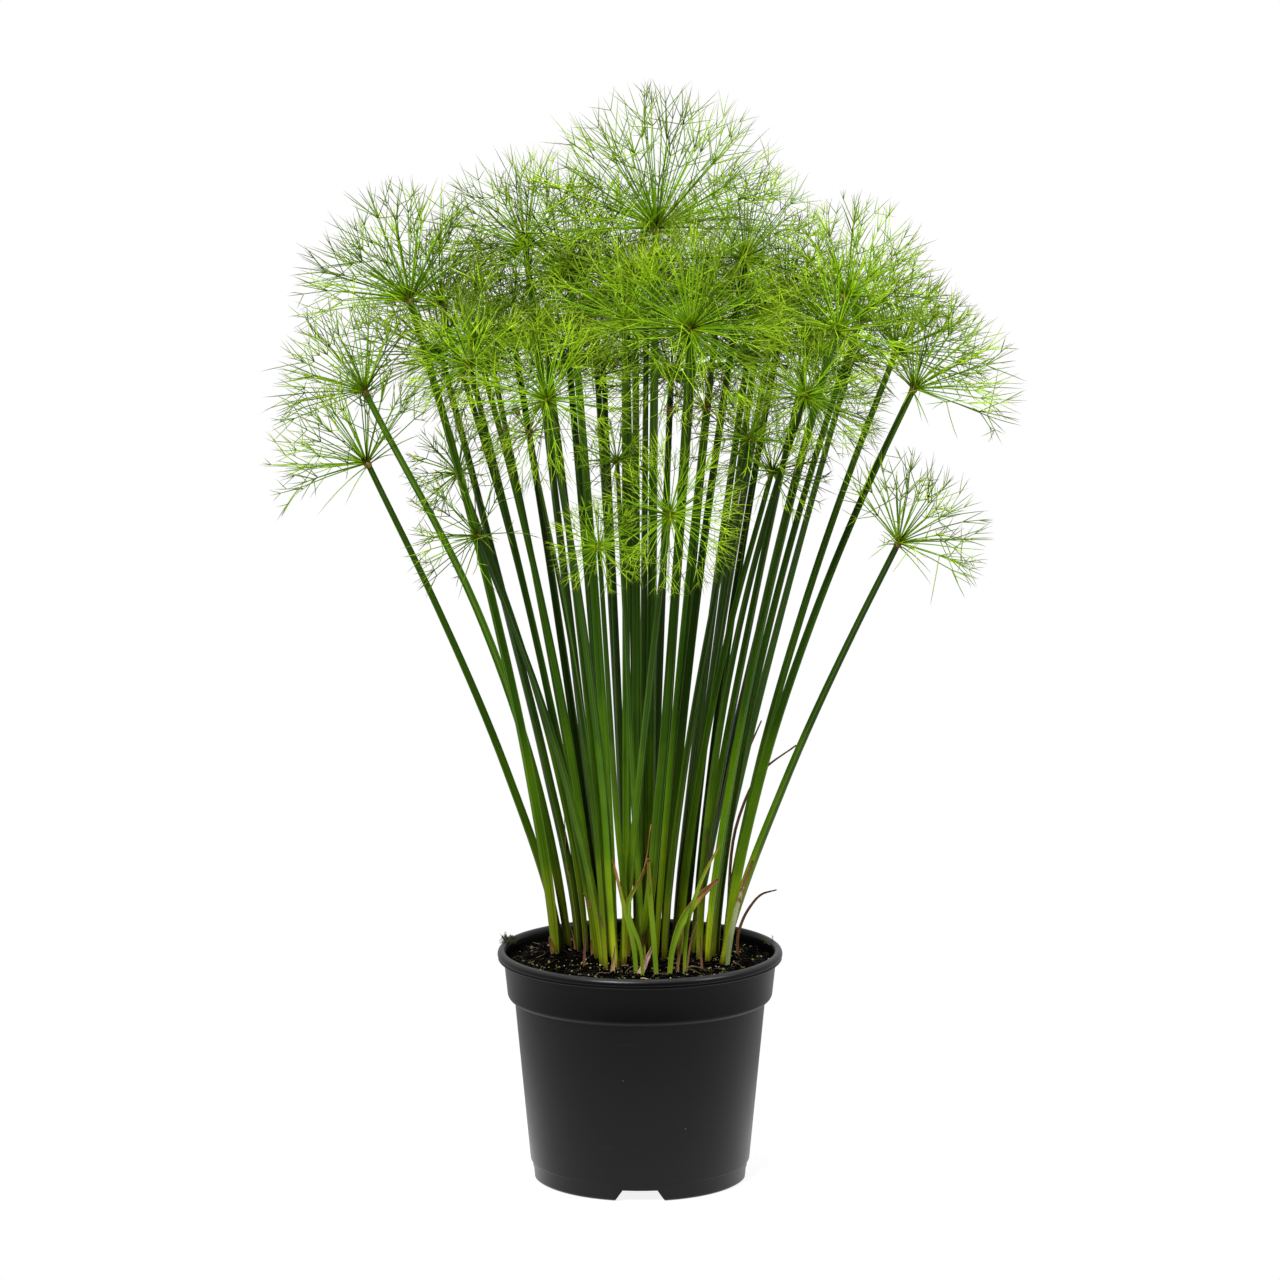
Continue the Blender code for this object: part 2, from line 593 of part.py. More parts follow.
def build_leaf(name, owner, leaf, rods, parts, cutters, finish):
    """A flat strap that starts in the compost and is extruded along its path to a narrow tip."""
    path = leaf_path(leaf, owner, rods)
    sections = [strap_section(path, k, width, leaf.way) for k, width in enumerate(leaf.half_widths)]
    bm = bmesh.new()
    bmesh.ops.create_cube(bm, size=2.0)
    for v in bm.verts:
        corner = SECTION_CORNERS.index((round(v.co.x), round(v.co.y)))
        v.co = sections[v.co.z > 0][corner]
    end = max(bm.faces, key=lambda face: face.calc_center_median().z)
    for before, after in zip(sections[1:-1], sections[2:]):
        end = bmesh.ops.extrude_discrete_faces(bm, faces=[end])["faces"][0]
        for v in end.verts:
            corner = min(range(len(before)), key=lambda one: (before[one] - v.co).length)
            v.co = after[corner]
    add_socket(f"socket_{name}", sections[:2], cutters)
    add_object(name, bm, parts, finish)


def place_culm_rods(table, paths, rods):
    """Note the room that every culm and every umbel's knob takes."""
    for number, (path, row) in enumerate(zip(paths, table), start=1):
        umbel = row[3]
        height = path[-1].z - path[0].z
        radii = [culm_radius(umbel, (point.z - path[0].z) / height) for point in path]
        for k in range(len(path) - 1):
            rods.add(path[k], path[k + 1], radii[k], radii[k + 1], number)
        rods.add(path[-1], path[-1], knob_radius(umbel), knob_radius(umbel), number)


def main():
    clear_scene()
    parts = new_collection("potted_dwarf_papyrus")
    pot_cutters = new_collection("pot_cutters")
    soil_cutters = new_collection("soil_cutters")
    build_pot(parts, pot_cutters)

    table = culm_table()
    paths = culm_paths(table)
    rods = Rods()
    place_culm_rods(table, paths, rods)
    leaf_finish = material("leaf", (0.16, 0.22, 0.02), 0.55)
    for owner, (name, leaf) in enumerate(LEAVES.items(), start=len(table) + 1):
        build_leaf(name, owner, leaf, rods, parts, soil_cutters, leaf_finish)
    culm_finish = material("culm", (0.07, 0.19, 0.02), 0.5)
    for number, (path, row) in enumerate(zip(paths, table), start=1):
        build_culm(number, path, row[3], row[4], rods, parts, soil_cutters, culm_finish)
    build_soil(parts, soil_cutters)


main()
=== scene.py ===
import math

import bpy
import numpy as np
from mathutils import Matrix, Vector, noise


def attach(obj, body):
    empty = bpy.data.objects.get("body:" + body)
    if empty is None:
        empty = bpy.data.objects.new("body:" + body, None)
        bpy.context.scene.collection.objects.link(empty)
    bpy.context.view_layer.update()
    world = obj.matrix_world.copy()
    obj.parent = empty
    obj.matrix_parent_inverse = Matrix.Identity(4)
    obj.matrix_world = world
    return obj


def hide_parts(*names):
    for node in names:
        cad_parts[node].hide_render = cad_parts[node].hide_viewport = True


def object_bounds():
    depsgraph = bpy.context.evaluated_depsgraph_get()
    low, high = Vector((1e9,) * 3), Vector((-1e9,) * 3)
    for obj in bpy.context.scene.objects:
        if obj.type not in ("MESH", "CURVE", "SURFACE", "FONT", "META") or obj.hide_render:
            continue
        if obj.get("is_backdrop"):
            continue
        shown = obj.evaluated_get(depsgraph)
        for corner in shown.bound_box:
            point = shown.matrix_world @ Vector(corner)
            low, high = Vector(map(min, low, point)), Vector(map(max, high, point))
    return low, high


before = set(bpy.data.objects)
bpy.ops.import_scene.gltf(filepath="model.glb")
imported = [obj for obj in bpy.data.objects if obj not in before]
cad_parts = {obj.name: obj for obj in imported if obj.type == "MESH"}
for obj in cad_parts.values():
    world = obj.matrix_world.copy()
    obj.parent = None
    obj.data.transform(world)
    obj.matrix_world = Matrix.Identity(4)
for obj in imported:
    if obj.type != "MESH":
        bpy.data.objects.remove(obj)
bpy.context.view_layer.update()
scene = bpy.context.scene
scene.view_settings.view_transform = "Standard"


# The camera stands well back from the pot, a little above the plant's top, and looks down at it
# through a long lens.
SENSOR_MM = 36.0
LENS_MM = 155.5
CAMERA_PLACE = (0.0, -3.6, 0.9725)
CAMERA_TILT = math.radians(80.395)


def put_in_scene(name, data):
    """A new object for a camera, a lamp or a mesh, linked into the scene."""
    made = bpy.data.objects.new(name, data)
    scene.collection.objects.link(made)
    return made


camera_data = bpy.data.cameras.new("camera")
camera_data.sensor_width = SENSOR_MM
camera_data.lens = LENS_MM
camera = put_in_scene("camera", camera_data)
camera.location = CAMERA_PLACE
camera.rotation_euler = (CAMERA_TILT, 0.0, 0.0)
scene.camera = camera


# The studio is white all round but for the dark side where the camera stands, so that the black
# pot is dark in front and pale at its sides. What is seen straight behind the plant is pure white.
SKY_STRENGTH = 0.30
MIRRORED_SKY_STRENGTH = 0.55
WHITE = (1.0, 1.0, 1.0, 1.0)


def add_node(material, kind, values=None, **settings):
    """A shader node with its settings and its inputs, each a plain value or another node's output."""
    made = material.node_tree.nodes.new(kind)
    for name, value in settings.items():
        setattr(made, name, value)
    for socket, value in (values or {}).items():
        if isinstance(value, bpy.types.NodeSocket):
            material.node_tree.links.new(value, made.inputs[socket])
        else:
            made.inputs[socket].default_value = value
    return made


def ramp(material, factor, stops):
    """A colour ramp of (position, colour) stops."""
    made = add_node(material, "ShaderNodeValToRGB", {"Fac": factor})
    elements = made.color_ramp.elements
    while len(elements) < len(stops):
        elements.new(1.0)
    for element, (position, colour) in zip(elements, stops):
        element.position = position
        element.color = (*colour, 1.0)
    return made.outputs["Color"]


def span(material, value, low, high, new_low=0.0, new_high=1.0):
    """A value brought from one range to another, and held within it."""
    made = add_node(material, "ShaderNodeMapRange", {
        "Value": value, "From Min": low, "From Max": high, "To Min": new_low, "To Max": new_high})
    return made.outputs["Result"]


def part_of(material, vector, axis):
    """The X, Y or Z part of a vector."""
    return add_node(material, "ShaderNodeSeparateXYZ", {"Vector": vector}).outputs[axis]


surroundings = bpy.data.worlds.new("surroundings")
surroundings.use_nodes = True
scene.world = surroundings
surroundings.node_tree.nodes.clear()
direction = add_node(surroundings, "ShaderNodeTexCoord").outputs["Generated"]
facing = part_of(surroundings, direction, "Y")
around = ramp(surroundings, span(surroundings, facing, -1.0, 1.0), (
    (0.0, (0.02, 0.02, 0.02)), (0.05, (0.12, 0.12, 0.12)), (0.16, (0.6, 0.6, 0.6)),
    (0.5, (0.9, 0.9, 0.9)), (1.0, (0.9, 0.9, 0.9))))
rays = add_node(surroundings, "ShaderNodeLightPath")
strength = span(surroundings, rays.outputs["Is Glossy Ray"], 0.0, 1.0, SKY_STRENGTH, MIRRORED_SKY_STRENGTH)
lit = add_node(surroundings, "ShaderNodeBackground", {"Color": around, "Strength": strength}).outputs[0]
seen = add_node(surroundings, "ShaderNodeBackground", {"Color": WHITE, "Strength": 1.0}).outputs[0]
both = add_node(surroundings, "ShaderNodeMixShader", {0: rays.outputs["Is Camera Ray"], 1: lit, 2: seen})
add_node(surroundings, "ShaderNodeOutputWorld", {"Surface": both.outputs[0]})


# Three square soft lights hang round the plant: the main one in front and above on the left, a
# weaker one on the right, and one overhead. All of them face the middle of the plant.
PLANT_MIDDLE = Vector((0.0, 0.0, 0.4))
SOFTBOXES = (
    ("front_softbox", (-1.1, -2.3, 2.6), 1.2, 135.0),
    ("right_softbox", (2.3, -1.1, 1.9), 1.0, 36.0),
    ("top_softbox", (0.2, 0.4, 2.8), 1.2, 36.0),
)
for name, place, size, power in SOFTBOXES:
    lamp = bpy.data.lights.new(name, "AREA")
    lamp.size = size
    lamp.energy = power
    softbox = put_in_scene(name, lamp)
    softbox.location = place
    softbox.rotation_euler = (PLANT_MIDDLE - Vector(place)).to_track_quat("-Z", "Y").to_euler()


# The plant stands on a round sheet of white paper, so bright that only a faint shadow shows under
# the pot. It fades out well before its edge, and the pot's gloss mirrors only the part close by.
FLOOR_RADIUS = 0.95
FLOOR_CORNERS = 96
FLOOR_LEVEL = -0.0004
PAPER_GREY = (0.22, 0.22, 0.22, 1.0)
PAPER_GLOW = 0.86
MIRRORED_FROM, MIRRORED_TO, MIRRORED_GLOW = 0.09, 0.32, 0.80
FADES_FROM, FADES_TO = 0.15, FLOOR_RADIUS * 0.42


def around_turn(count):
    """Angles spaced evenly round one full turn, without the last, which is the first again."""
    return np.linspace(0, 2 * math.pi, count + 1)[:-1]


def on_piece(material):
    """Where a point lies on its piece, in metres."""
    return add_node(material, "ShaderNodeTexCoord").outputs["Object"]


def distance(material, vector):
    """How long a vector is."""
    return add_node(material, "ShaderNodeVectorMath", {0: vector}, operation="LENGTH").outputs["Value"]


def reckon(material, operation, first, second=0.0):
    """One sum on two values, such as ADD or MULTIPLY, or on one value, such as ABSOLUTE."""
    return add_node(material, "ShaderNodeMath", {0: first, 1: second}, operation=operation).outputs[0]


floor_mesh = bpy.data.meshes.new("floor")
edge = [(math.cos(a), math.sin(a)) for a in around_turn(FLOOR_CORNERS)]
edge = [(FLOOR_RADIUS * c, FLOOR_RADIUS * s, FLOOR_LEVEL) for c, s in edge]
floor_mesh.from_pydata(edge, [], [list(range(FLOOR_CORNERS))])
floor = put_in_scene("floor", floor_mesh)
pale_floor = bpy.data.materials.new("pale_floor")
pale_floor.use_nodes = True
pale_floor.node_tree.nodes.clear()
from_pot = distance(pale_floor, on_piece(pale_floor))
paper = add_node(pale_floor, "ShaderNodeBsdfDiffuse", {"Color": PAPER_GREY}).outputs[0]
mirrored = add_node(pale_floor, "ShaderNodeLightPath").outputs["Is Glossy Ray"]
nearness = span(pale_floor, from_pot, MIRRORED_FROM, MIRRORED_TO, 0.0, MIRRORED_GLOW)
glowing = reckon(pale_floor, "SUBTRACT", PAPER_GLOW, reckon(pale_floor, "MULTIPLY", mirrored, nearness))
glow = add_node(pale_floor, "ShaderNodeEmission", {"Color": WHITE, "Strength": glowing}).outputs[0]
lit_paper = add_node(pale_floor, "ShaderNodeAddShader", {0: paper, 1: glow}).outputs[0]
clear = add_node(pale_floor, "ShaderNodeBsdfTransparent").outputs[0]
fade = span(pale_floor, from_pot, FADES_FROM, FADES_TO)
faded = add_node(pale_floor, "ShaderNodeMixShader", {0: fade, 1: lit_paper, 2: clear}).outputs[0]
add_node(pale_floor, "ShaderNodeOutputMaterial", {"Surface": faded})
floor_mesh.materials.append(pale_floor)
floor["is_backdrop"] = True


# The pot is one injection moulding in black polypropylene, with a satin skin, a rolled lip with a
# thin second ridge under it, a deep collar for stacking, and a recessed foot with drain notches.
POT_WALL = 0.0016
COLLAR_TOP = 0.0908
COLLAR_BOTTOM = 0.0884
COLLAR_STEP = 0.1215
COLLAR_ROUND = 0.0044
COLLAR_INSIDE_STEP = 0.0048
BODY_TOP = 0.0836
BODY_BOTTOM = 0.0732
FOOT_HEIGHT = 0.0115
FOOT_RADIUS = 0.0717
FOOT_WALL = 0.0045
EDGE_ROUND = 0.0006
FLOOR_UNDERSIDE = 0.009
FLOOR_TOP = FLOOR_UNDERSIDE + POT_WALL
FLOOR_ROUND = 0.0024
POT_SEGMENTS = 192
NOTCH_COUNT = 4
NOTCH_TOP_WIDTH = 0.023
NOTCH_BOTTOM_WIDTH = 0.034
NOTCH_HEIGHT = 0.0075
NOTCH_DEPTH = 0.01
DRAIN_RADIUS = 0.005
DRAIN_FROM_AXIS = 0.056
DRAIN_SEGMENTS = 32
SHARP_EDGE = math.radians(38)

lip = [
    (COLLAR_TOP - POT_WALL, 0.1480), (0.0893, 0.1516), (0.0898, 0.1536), (0.0907, 0.1547), (0.0920, 0.1550),
    (0.0934, 0.1547), (0.0944, 0.1538), (0.0949, 0.1526), (0.0950, 0.1514), (0.0947, 0.1505),
    (0.0941, 0.1501), (0.0941, 0.1497), (0.0945, 0.1494), (0.0946, 0.1490), (0.0943, 0.1486),
    (0.0934, 0.1484), (0.0918, 0.1485), (0.0910, 0.1482), (COLLAR_TOP - 0.0001, 0.1476)]
shoulder = [
    (COLLAR_BOTTOM - COLLAR_ROUND * (1 - math.cos(a)), COLLAR_STEP + COLLAR_ROUND * (1 + math.sin(a)))
    for a in np.radians(np.linspace(0, -86, 9))]
pot_profile = [
    (0.0, FLOOR_TOP), (BODY_BOTTOM - POT_WALL - FLOOR_ROUND, FLOOR_TOP),
    (BODY_BOTTOM - POT_WALL, FLOOR_TOP + FLOOR_ROUND), (BODY_TOP - POT_WALL, COLLAR_STEP),
    (COLLAR_BOTTOM - POT_WALL, COLLAR_STEP + COLLAR_INSIDE_STEP),
    *lip, *shoulder,
    (BODY_TOP + EDGE_ROUND / 2, COLLAR_STEP), (BODY_TOP, COLLAR_STEP - EDGE_ROUND),
    (BODY_BOTTOM + EDGE_ROUND / 3, FOOT_HEIGHT + 2 * EDGE_ROUND), (BODY_BOTTOM, FOOT_HEIGHT + EDGE_ROUND),
    (FOOT_RADIUS + EDGE_ROUND / 2, FOOT_HEIGHT), (FOOT_RADIUS, FOOT_HEIGHT - EDGE_ROUND),
    (FOOT_RADIUS, 0.0020), (FOOT_RADIUS - EDGE_ROUND, 0.0007), (FOOT_RADIUS - 3 * EDGE_ROUND, 0.0),
    (FOOT_RADIUS - FOOT_WALL, 0.0), (FOOT_RADIUS - FOOT_WALL, FLOOR_UNDERSIDE), (0.0, FLOOR_UNDERSIDE)]


def turned(name, profile, segments):
    """A closed turned body from a profile that starts and ends on the axis."""
    inner = np.array(profile[1:-1])
    ring = [(math.cos(a), math.sin(a)) for a in around_turn(segments)]
    points = [(0.0, 0.0, profile[0][1])]
    for radius, height in inner:
        points += [(radius * c, radius * s, height) for c, s in ring]
    points.append((0.0, 0.0, profile[-1][1]))
    faces = []
    top = 1 + (len(inner) - 1) * segments
    for k in range(segments):
        after = (k + 1) % segments
        faces.append((0, 1 + k, 1 + after))
        for row in range(len(inner) - 1):
            low, high = 1 + row * segments, 1 + (row + 1) * segments
            faces.append((low + k, high + k, high + after, low + after))
        faces.append((top + k, len(points) - 1, top + after))
    mesh = bpy.data.meshes.new(name)
    mesh.from_pydata(points, [], faces)
    return mesh


pot_blank = put_in_scene("pot_blank", turned("pot_blank", pot_profile, POT_SEGMENTS))
pot_cutters = []
for k in range(NOTCH_COUNT):
    turn = math.radians(360 / NOTCH_COUNT * k - 90)
    notch = bpy.data.meshes.new("notch")
    corners = [(FOOT_RADIUS + out * NOTCH_DEPTH, side * width / 2, z)
               for z, width in ((-EDGE_ROUND, NOTCH_BOTTOM_WIDTH), (NOTCH_HEIGHT, NOTCH_TOP_WIDTH))
               for out, side in ((-1, -1), (1, -1), (1, 1), (-1, 1))]
    notch.from_pydata(corners, [], [
        (3, 2, 1, 0), (4, 5, 6, 7), (0, 1, 5, 4), (1, 2, 6, 5), (2, 3, 7, 6), (3, 0, 4, 7)])
    notch.transform(Matrix.Rotation(turn, 4, "Z"))
    pot_cutters.append(put_in_scene("notch", notch))
    drain_profile = [(out, z) for z, out in (
        (-POT_WALL, 0.0), (-POT_WALL, DRAIN_RADIUS), (2 * POT_WALL, DRAIN_RADIUS), (2 * POT_WALL, 0.0))]
    drain = turned("drain", drain_profile, DRAIN_SEGMENTS)
    drain.flip_normals()
    drain.transform(Matrix.Translation(
        (DRAIN_FROM_AXIS * math.cos(turn), DRAIN_FROM_AXIS * math.sin(turn), FLOOR_UNDERSIDE)))
    pot_cutters.append(put_in_scene("drain", drain))
for cutter in pot_cutters:
    boolean = pot_blank.modifiers.new("cut", "BOOLEAN")
    boolean.operation = "DIFFERENCE"
    boolean.object = cutter
bpy.context.view_layer.update()
pot_mesh = bpy.data.meshes.new_from_object(pot_blank.evaluated_get(bpy.context.evaluated_depsgraph_get()))
for spent in (pot_blank, *pot_cutters):
    bpy.data.objects.remove(spent)
pot_mesh.shade_smooth()
pot_mesh.set_sharp_from_angle(angle=SHARP_EDGE)
pot = put_in_scene("nursery_pot", pot_mesh)


def new_finish(name):
    """A material with its nodes switched on."""
    made = bpy.data.materials.new(name)
    made.use_nodes = True
    return made


def grain(material, place, scale, detail=2.0, roughness=0.5):
    """Soft noise of a given grain."""
    return add_node(material, "ShaderNodeTexNoise", {
        "Vector": place, "Scale": scale, "Detail": detail, "Roughness": roughness}).outputs["Fac"]


def streaks(material, place, stretch, detail, roughness=0.5):
    """Soft noise of a different grain along each axis."""
    drawn_out = add_node(material, "ShaderNodeMapping", {"Vector": place, "Scale": stretch}).outputs["Vector"]
    return grain(material, drawn_out, 1.0, detail, roughness)


def laid_over(material, share, under, over):
    """A share of one colour laid over another."""
    over = (*over, 1.0) if isinstance(over, tuple) else over
    values = {"Factor": share, 6: under, 7: over}
    return add_node(material, "ShaderNodeMix", values, data_type="RGBA").outputs[2]


def finish_with(material, colour, roughness, relief, strength, depth, specular=0.5):
    """Join a finish's colour, roughness (or its range) and fine relief to its shader."""
    shader = material.node_tree.nodes["Principled BSDF"]
    if isinstance(roughness, tuple):
        roughness = span(material, relief, 0.3, 0.7, *roughness)
    bump = add_node(material, "ShaderNodeBump", {"Strength": strength, "Distance": depth, "Height": relief})
    joined = {"Base Color": colour, "Roughness": roughness, "Normal": bump.outputs["Normal"]}
    for socket, value in joined.items():
        material.node_tree.links.new(value, shader.inputs[socket])
    shader.inputs["Specular IOR Level"].default_value = specular


black_plastic = new_finish("black_polypropylene")
place = on_piece(black_plastic)
cloud = grain(black_plastic, place, 22.0, 5.0)
skin_grain = grain(black_plastic, place, 1500.0)
scuffs = span(black_plastic, streaks(black_plastic, place, (30.0, 30.0, 420.0), 3.0, 0.7), 0.70, 0.80)
dust = add_node(black_plastic, "ShaderNodeTexVoronoi", {"Vector": place, "Scale": 95.0, "Randomness": 1.0})
chosen = add_node(black_plastic, "ShaderNodeSeparateColor", {"Color": dust.outputs["Color"]}).outputs["Red"]
specks = reckon(black_plastic, "MULTIPLY", span(black_plastic, dust.outputs["Distance"], 0.045, 0.030),
                span(black_plastic, chosen, 0.80, 0.82))
tone = ramp(black_plastic, cloud, ((0.3, (0.0018, 0.0018, 0.0019)), (0.7, (0.0030, 0.0030, 0.0029))))
# The top of the lip is painted lighter: a painted highlight along the rim.
lip_painted_highlight = span(black_plastic, part_of(black_plastic, place, "Z"), 0.1525, 0.1549)
tone = laid_over(black_plastic, lip_painted_highlight, tone, (0.036, 0.036, 0.037))
tone = laid_over(black_plastic, scuffs, tone, (0.018, 0.018, 0.017))
tone = laid_over(black_plastic, specks, tone, (0.16, 0.15, 0.13))
rough = reckon(black_plastic, "ADD", span(black_plastic, cloud, 0.3, 0.7, 0.27, 0.34),
               span(black_plastic, specks, 0.0, 1.0, 0.0, 0.3))
finish_with(black_plastic, tone, rough, skin_grain, 0.10, 0.0002, 0.24)
pot_mesh.materials.clear()
pot_mesh.materials.append(black_plastic)
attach(pot, "root")
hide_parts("pot")


# The compost is dark peat, pressed in round the clump and left rough on top, a little lower at
# the pot's wall than in the middle.
SOIL_EDGE = 0.1468
SOIL_CROWN = 0.1490
SOIL_CROWN_RADIUS = 0.072
SOIL_CLEARANCE = 0.0006
SOIL_TOP_RADIUS = COLLAR_TOP - POT_WALL - SOIL_CLEARANCE
SOIL_BED = FLOOR_TOP + 0.0003
SOIL_HEAPS = ((0.0011, 0.3, 70), (0.0009, 0.7, 210), (0.0006, 1.9, 520))
SOIL_RINGS, SOIL_TURNS = 64, 168
SOIL_SIDE = (
    (COLLAR_BOTTOM - POT_WALL - SOIL_CLEARANCE, COLLAR_STEP + 0.0052),
    (BODY_TOP - POT_WALL - SOIL_CLEARANCE, COLLAR_STEP),
    (BODY_BOTTOM - POT_WALL - SOIL_CLEARANCE, SOIL_BED + FLOOR_ROUND),
    (BODY_BOTTOM - POT_WALL - SOIL_CLEARANCE - FLOOR_ROUND, SOIL_BED))


def soil_height(x, y):
    """Height of the compost's rough top: low at the wall, level in the middle, in soft heaps."""
    out = math.hypot(x, y)
    share = min(max((out - SOIL_CROWN_RADIUS) / (SOIL_TOP_RADIUS - SOIL_CROWN_RADIUS), 0.0), 1.0)
    level = SOIL_CROWN + (SOIL_EDGE - SOIL_CROWN) * share
    return level + sum(tall * noise.noise(Vector((x, y, layer)) * fine) for tall, layer, fine in SOIL_HEAPS)


soil_ring = [(math.cos(a), math.sin(a)) for a in around_turn(SOIL_TURNS)]
soil_points = [(0.0, 0.0, soil_height(0.0, 0.0))]
for ring in range(1, SOIL_RINGS + 1):
    radius = SOIL_TOP_RADIUS * ring / SOIL_RINGS
    soil_points += [(radius * c, radius * s, soil_height(radius * c, radius * s)) for c, s in soil_ring]
for radius, height in SOIL_SIDE:
    soil_points += [(radius * c, radius * s, height) for c, s in soil_ring]
soil_points.append((0.0, 0.0, SOIL_BED))
soil_faces = []
soil_rows = SOIL_RINGS + len(SOIL_SIDE) - 1
for k in range(SOIL_TURNS):
    after = (k + 1) % SOIL_TURNS
    soil_faces.append((0, 1 + k, 1 + after))
    for row in range(soil_rows):
        low, high = 1 + row * SOIL_TURNS, 1 + (row + 1) * SOIL_TURNS
        soil_faces.append((low + k, high + k, high + after, low + after))
    rim = 1 + soil_rows * SOIL_TURNS
    soil_faces.append((rim + k, len(soil_points) - 1, rim + after))
soil_mesh = bpy.data.meshes.new("compost")
soil_mesh.from_pydata(soil_points, [], soil_faces)
soil_mesh.shade_smooth()
compost = put_in_scene("compost", soil_mesh)

peat = new_finish("dark_peat")
place = on_piece(peat)
peat_colour = ramp(peat, grain(peat, place, 420.0, 4.0, 0.65), (
    (0.40, (0.0003, 0.0002, 0.0001)), (0.60, (0.0010, 0.0006, 0.0003)), (0.70, (0.012, 0.009, 0.004)),
    (0.80, (0.20, 0.17, 0.09))))
fine = grain(peat, place, 1400.0, 3.0)
finish_with(peat, peat_colour, (0.86, 0.94), fine, 0.8, 0.0006, 0.03)
soil_mesh.materials.append(peat)
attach(compost, "root")
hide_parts("soil")


# Crumbs of the same peat lie loose on the compost, from dust to bits of a few millimetres. They
# were scattered as the pot was filled, and some of them gather round the foot of each shoot.
CRUMB_COUNT = 3200
CRUMB_REACH = 0.985
CRUMB_LEAST, CRUMB_GAIN, CRUMB_POWER = 0.0004, 0.0012, 2.2
CRUMB_LIFT = 0.25
FOOT_CRUMBS = 18
FOOT_CRUMBS_AWAY = (0.0032, 0.0050)
FOOT_CRUMB_SIZES = (0.0005, 0.0014)
FOOT_SLICE = 0.001
GRAIN_STRETCH = (0.6, 1.25)
GRAIN_DENTS = (0.72, 1.15)
GRAIN_FLATNESS = 0.75
GRAIN_TILT = 0.6
ANY_TURN = 6.28
GOLDEN = (1 + math.sqrt(5)) / 2
chance = np.random.default_rng(11)
grain_corners = np.array([
    (-1, GOLDEN, 0), (1, GOLDEN, 0), (-1, -GOLDEN, 0), (1, -GOLDEN, 0), (0, -1, GOLDEN), (0, 1, GOLDEN),
    (0, -1, -GOLDEN), (0, 1, -GOLDEN), (GOLDEN, 0, -1), (GOLDEN, 0, 1), (-GOLDEN, 0, -1), (-GOLDEN, 0, 1)])
grain_corners /= np.linalg.norm(grain_corners[0])
grain_faces = np.array([
    (0, 11, 5), (0, 5, 1), (0, 1, 7), (0, 7, 10), (0, 10, 11), (1, 5, 9), (5, 11, 4), (11, 10, 2), (10, 7, 6),
    (7, 1, 8), (3, 9, 4), (3, 4, 2), (3, 2, 6), (3, 6, 8), (3, 8, 9), (4, 9, 5), (2, 4, 11), (6, 2, 10),
    (8, 6, 7), (9, 8, 1)])


class Pile:
    """Points, triangles, their finishes and what the finishes read, gathered for one mesh."""

    def __init__(self):
        """An empty pile."""
        self.points, self.faces, self.slots, self.skins, self.tints = [], [], [], [], []
        self.count = 0

    def add(self, points, faces, slot=0, skin=None, tint=None):
        """Add points, the triangles between them, and what their finish reads at each point."""
        points = np.asarray(points, float).reshape(-1, 3)
        faces = np.asarray(faces, int).reshape(-1, 3)
        blank = np.zeros_like(points)
        self.points.append(points)
        self.faces.append(faces + self.count)
        self.slots.append(np.full(len(faces), slot))
        self.skins.append(blank if skin is None else np.broadcast_to(skin, points.shape))
        self.tints.append(blank if tint is None else np.broadcast_to(tint, points.shape))
        self.count += len(points)

    def piece(self, name, finishes, smooth=True):
        """One mesh of all that was added, put in the scene."""
        points, faces = np.concatenate(self.points), np.concatenate(self.faces)
        mesh = bpy.data.meshes.new(name)
        mesh.vertices.add(len(points))
        mesh.vertices.foreach_set("co", points.ravel())
        mesh.loops.add(faces.size)
        mesh.loops.foreach_set("vertex_index", faces.ravel())
        mesh.polygons.add(len(faces))
        mesh.polygons.foreach_set("loop_start", np.arange(0, faces.size, 3))
        mesh.polygons.foreach_set("material_index", np.concatenate(self.slots))
        mesh.update(calc_edges=True)
        for title, values in (("skin", self.skins), ("tint", self.tints)):
            made = mesh.attributes.new(title, "FLOAT_VECTOR", "POINT")
            made.data.foreach_set("vector", np.concatenate(values).ravel())
        for finish in finishes:
            mesh.materials.append(finish)
        if smooth:
            mesh.shade_smooth()
        return put_in_scene(name, mesh)


def scatter_grains(pile, places, sizes, tints, chance):
    """Uneven grains, each a lump with its own stretch and dents, half sunk where it lies."""
    for place, size, tint in zip(places, sizes, tints):
        stretch = chance.uniform(*GRAIN_STRETCH, 3) * size * (1.0, 1.0, GRAIN_FLATNESS)
        dents = chance.uniform(*GRAIN_DENTS, (len(grain_corners), 1))
        turn = Matrix.Rotation(chance.uniform(0, ANY_TURN), 3, "Z")
        turn = turn @ Matrix.Rotation(chance.uniform(-GRAIN_TILT, GRAIN_TILT), 3, "X")
        pile.add(grain_corners * dents * stretch @ np.array(turn).T + place, grain_faces, tint=tint)


def spread(count, reach, chance):
    """Points spread evenly over the compost's top, out to a share of its radius."""
    out = SOIL_TOP_RADIUS * reach * np.sqrt(chance.uniform(0, 1, count))
    turn = chance.uniform(0, 2 * math.pi, count)
    return np.stack([out * np.cos(turn), out * np.sin(turn)], axis=1)


def carried(material, name, axis=None):
    """What a mesh carries for its finish, or the X, Y or Z part of it."""
    vector = add_node(material, "ShaderNodeAttribute", attribute_name=name).outputs["Vector"]
    return part_of(material, vector, axis) if axis else vector


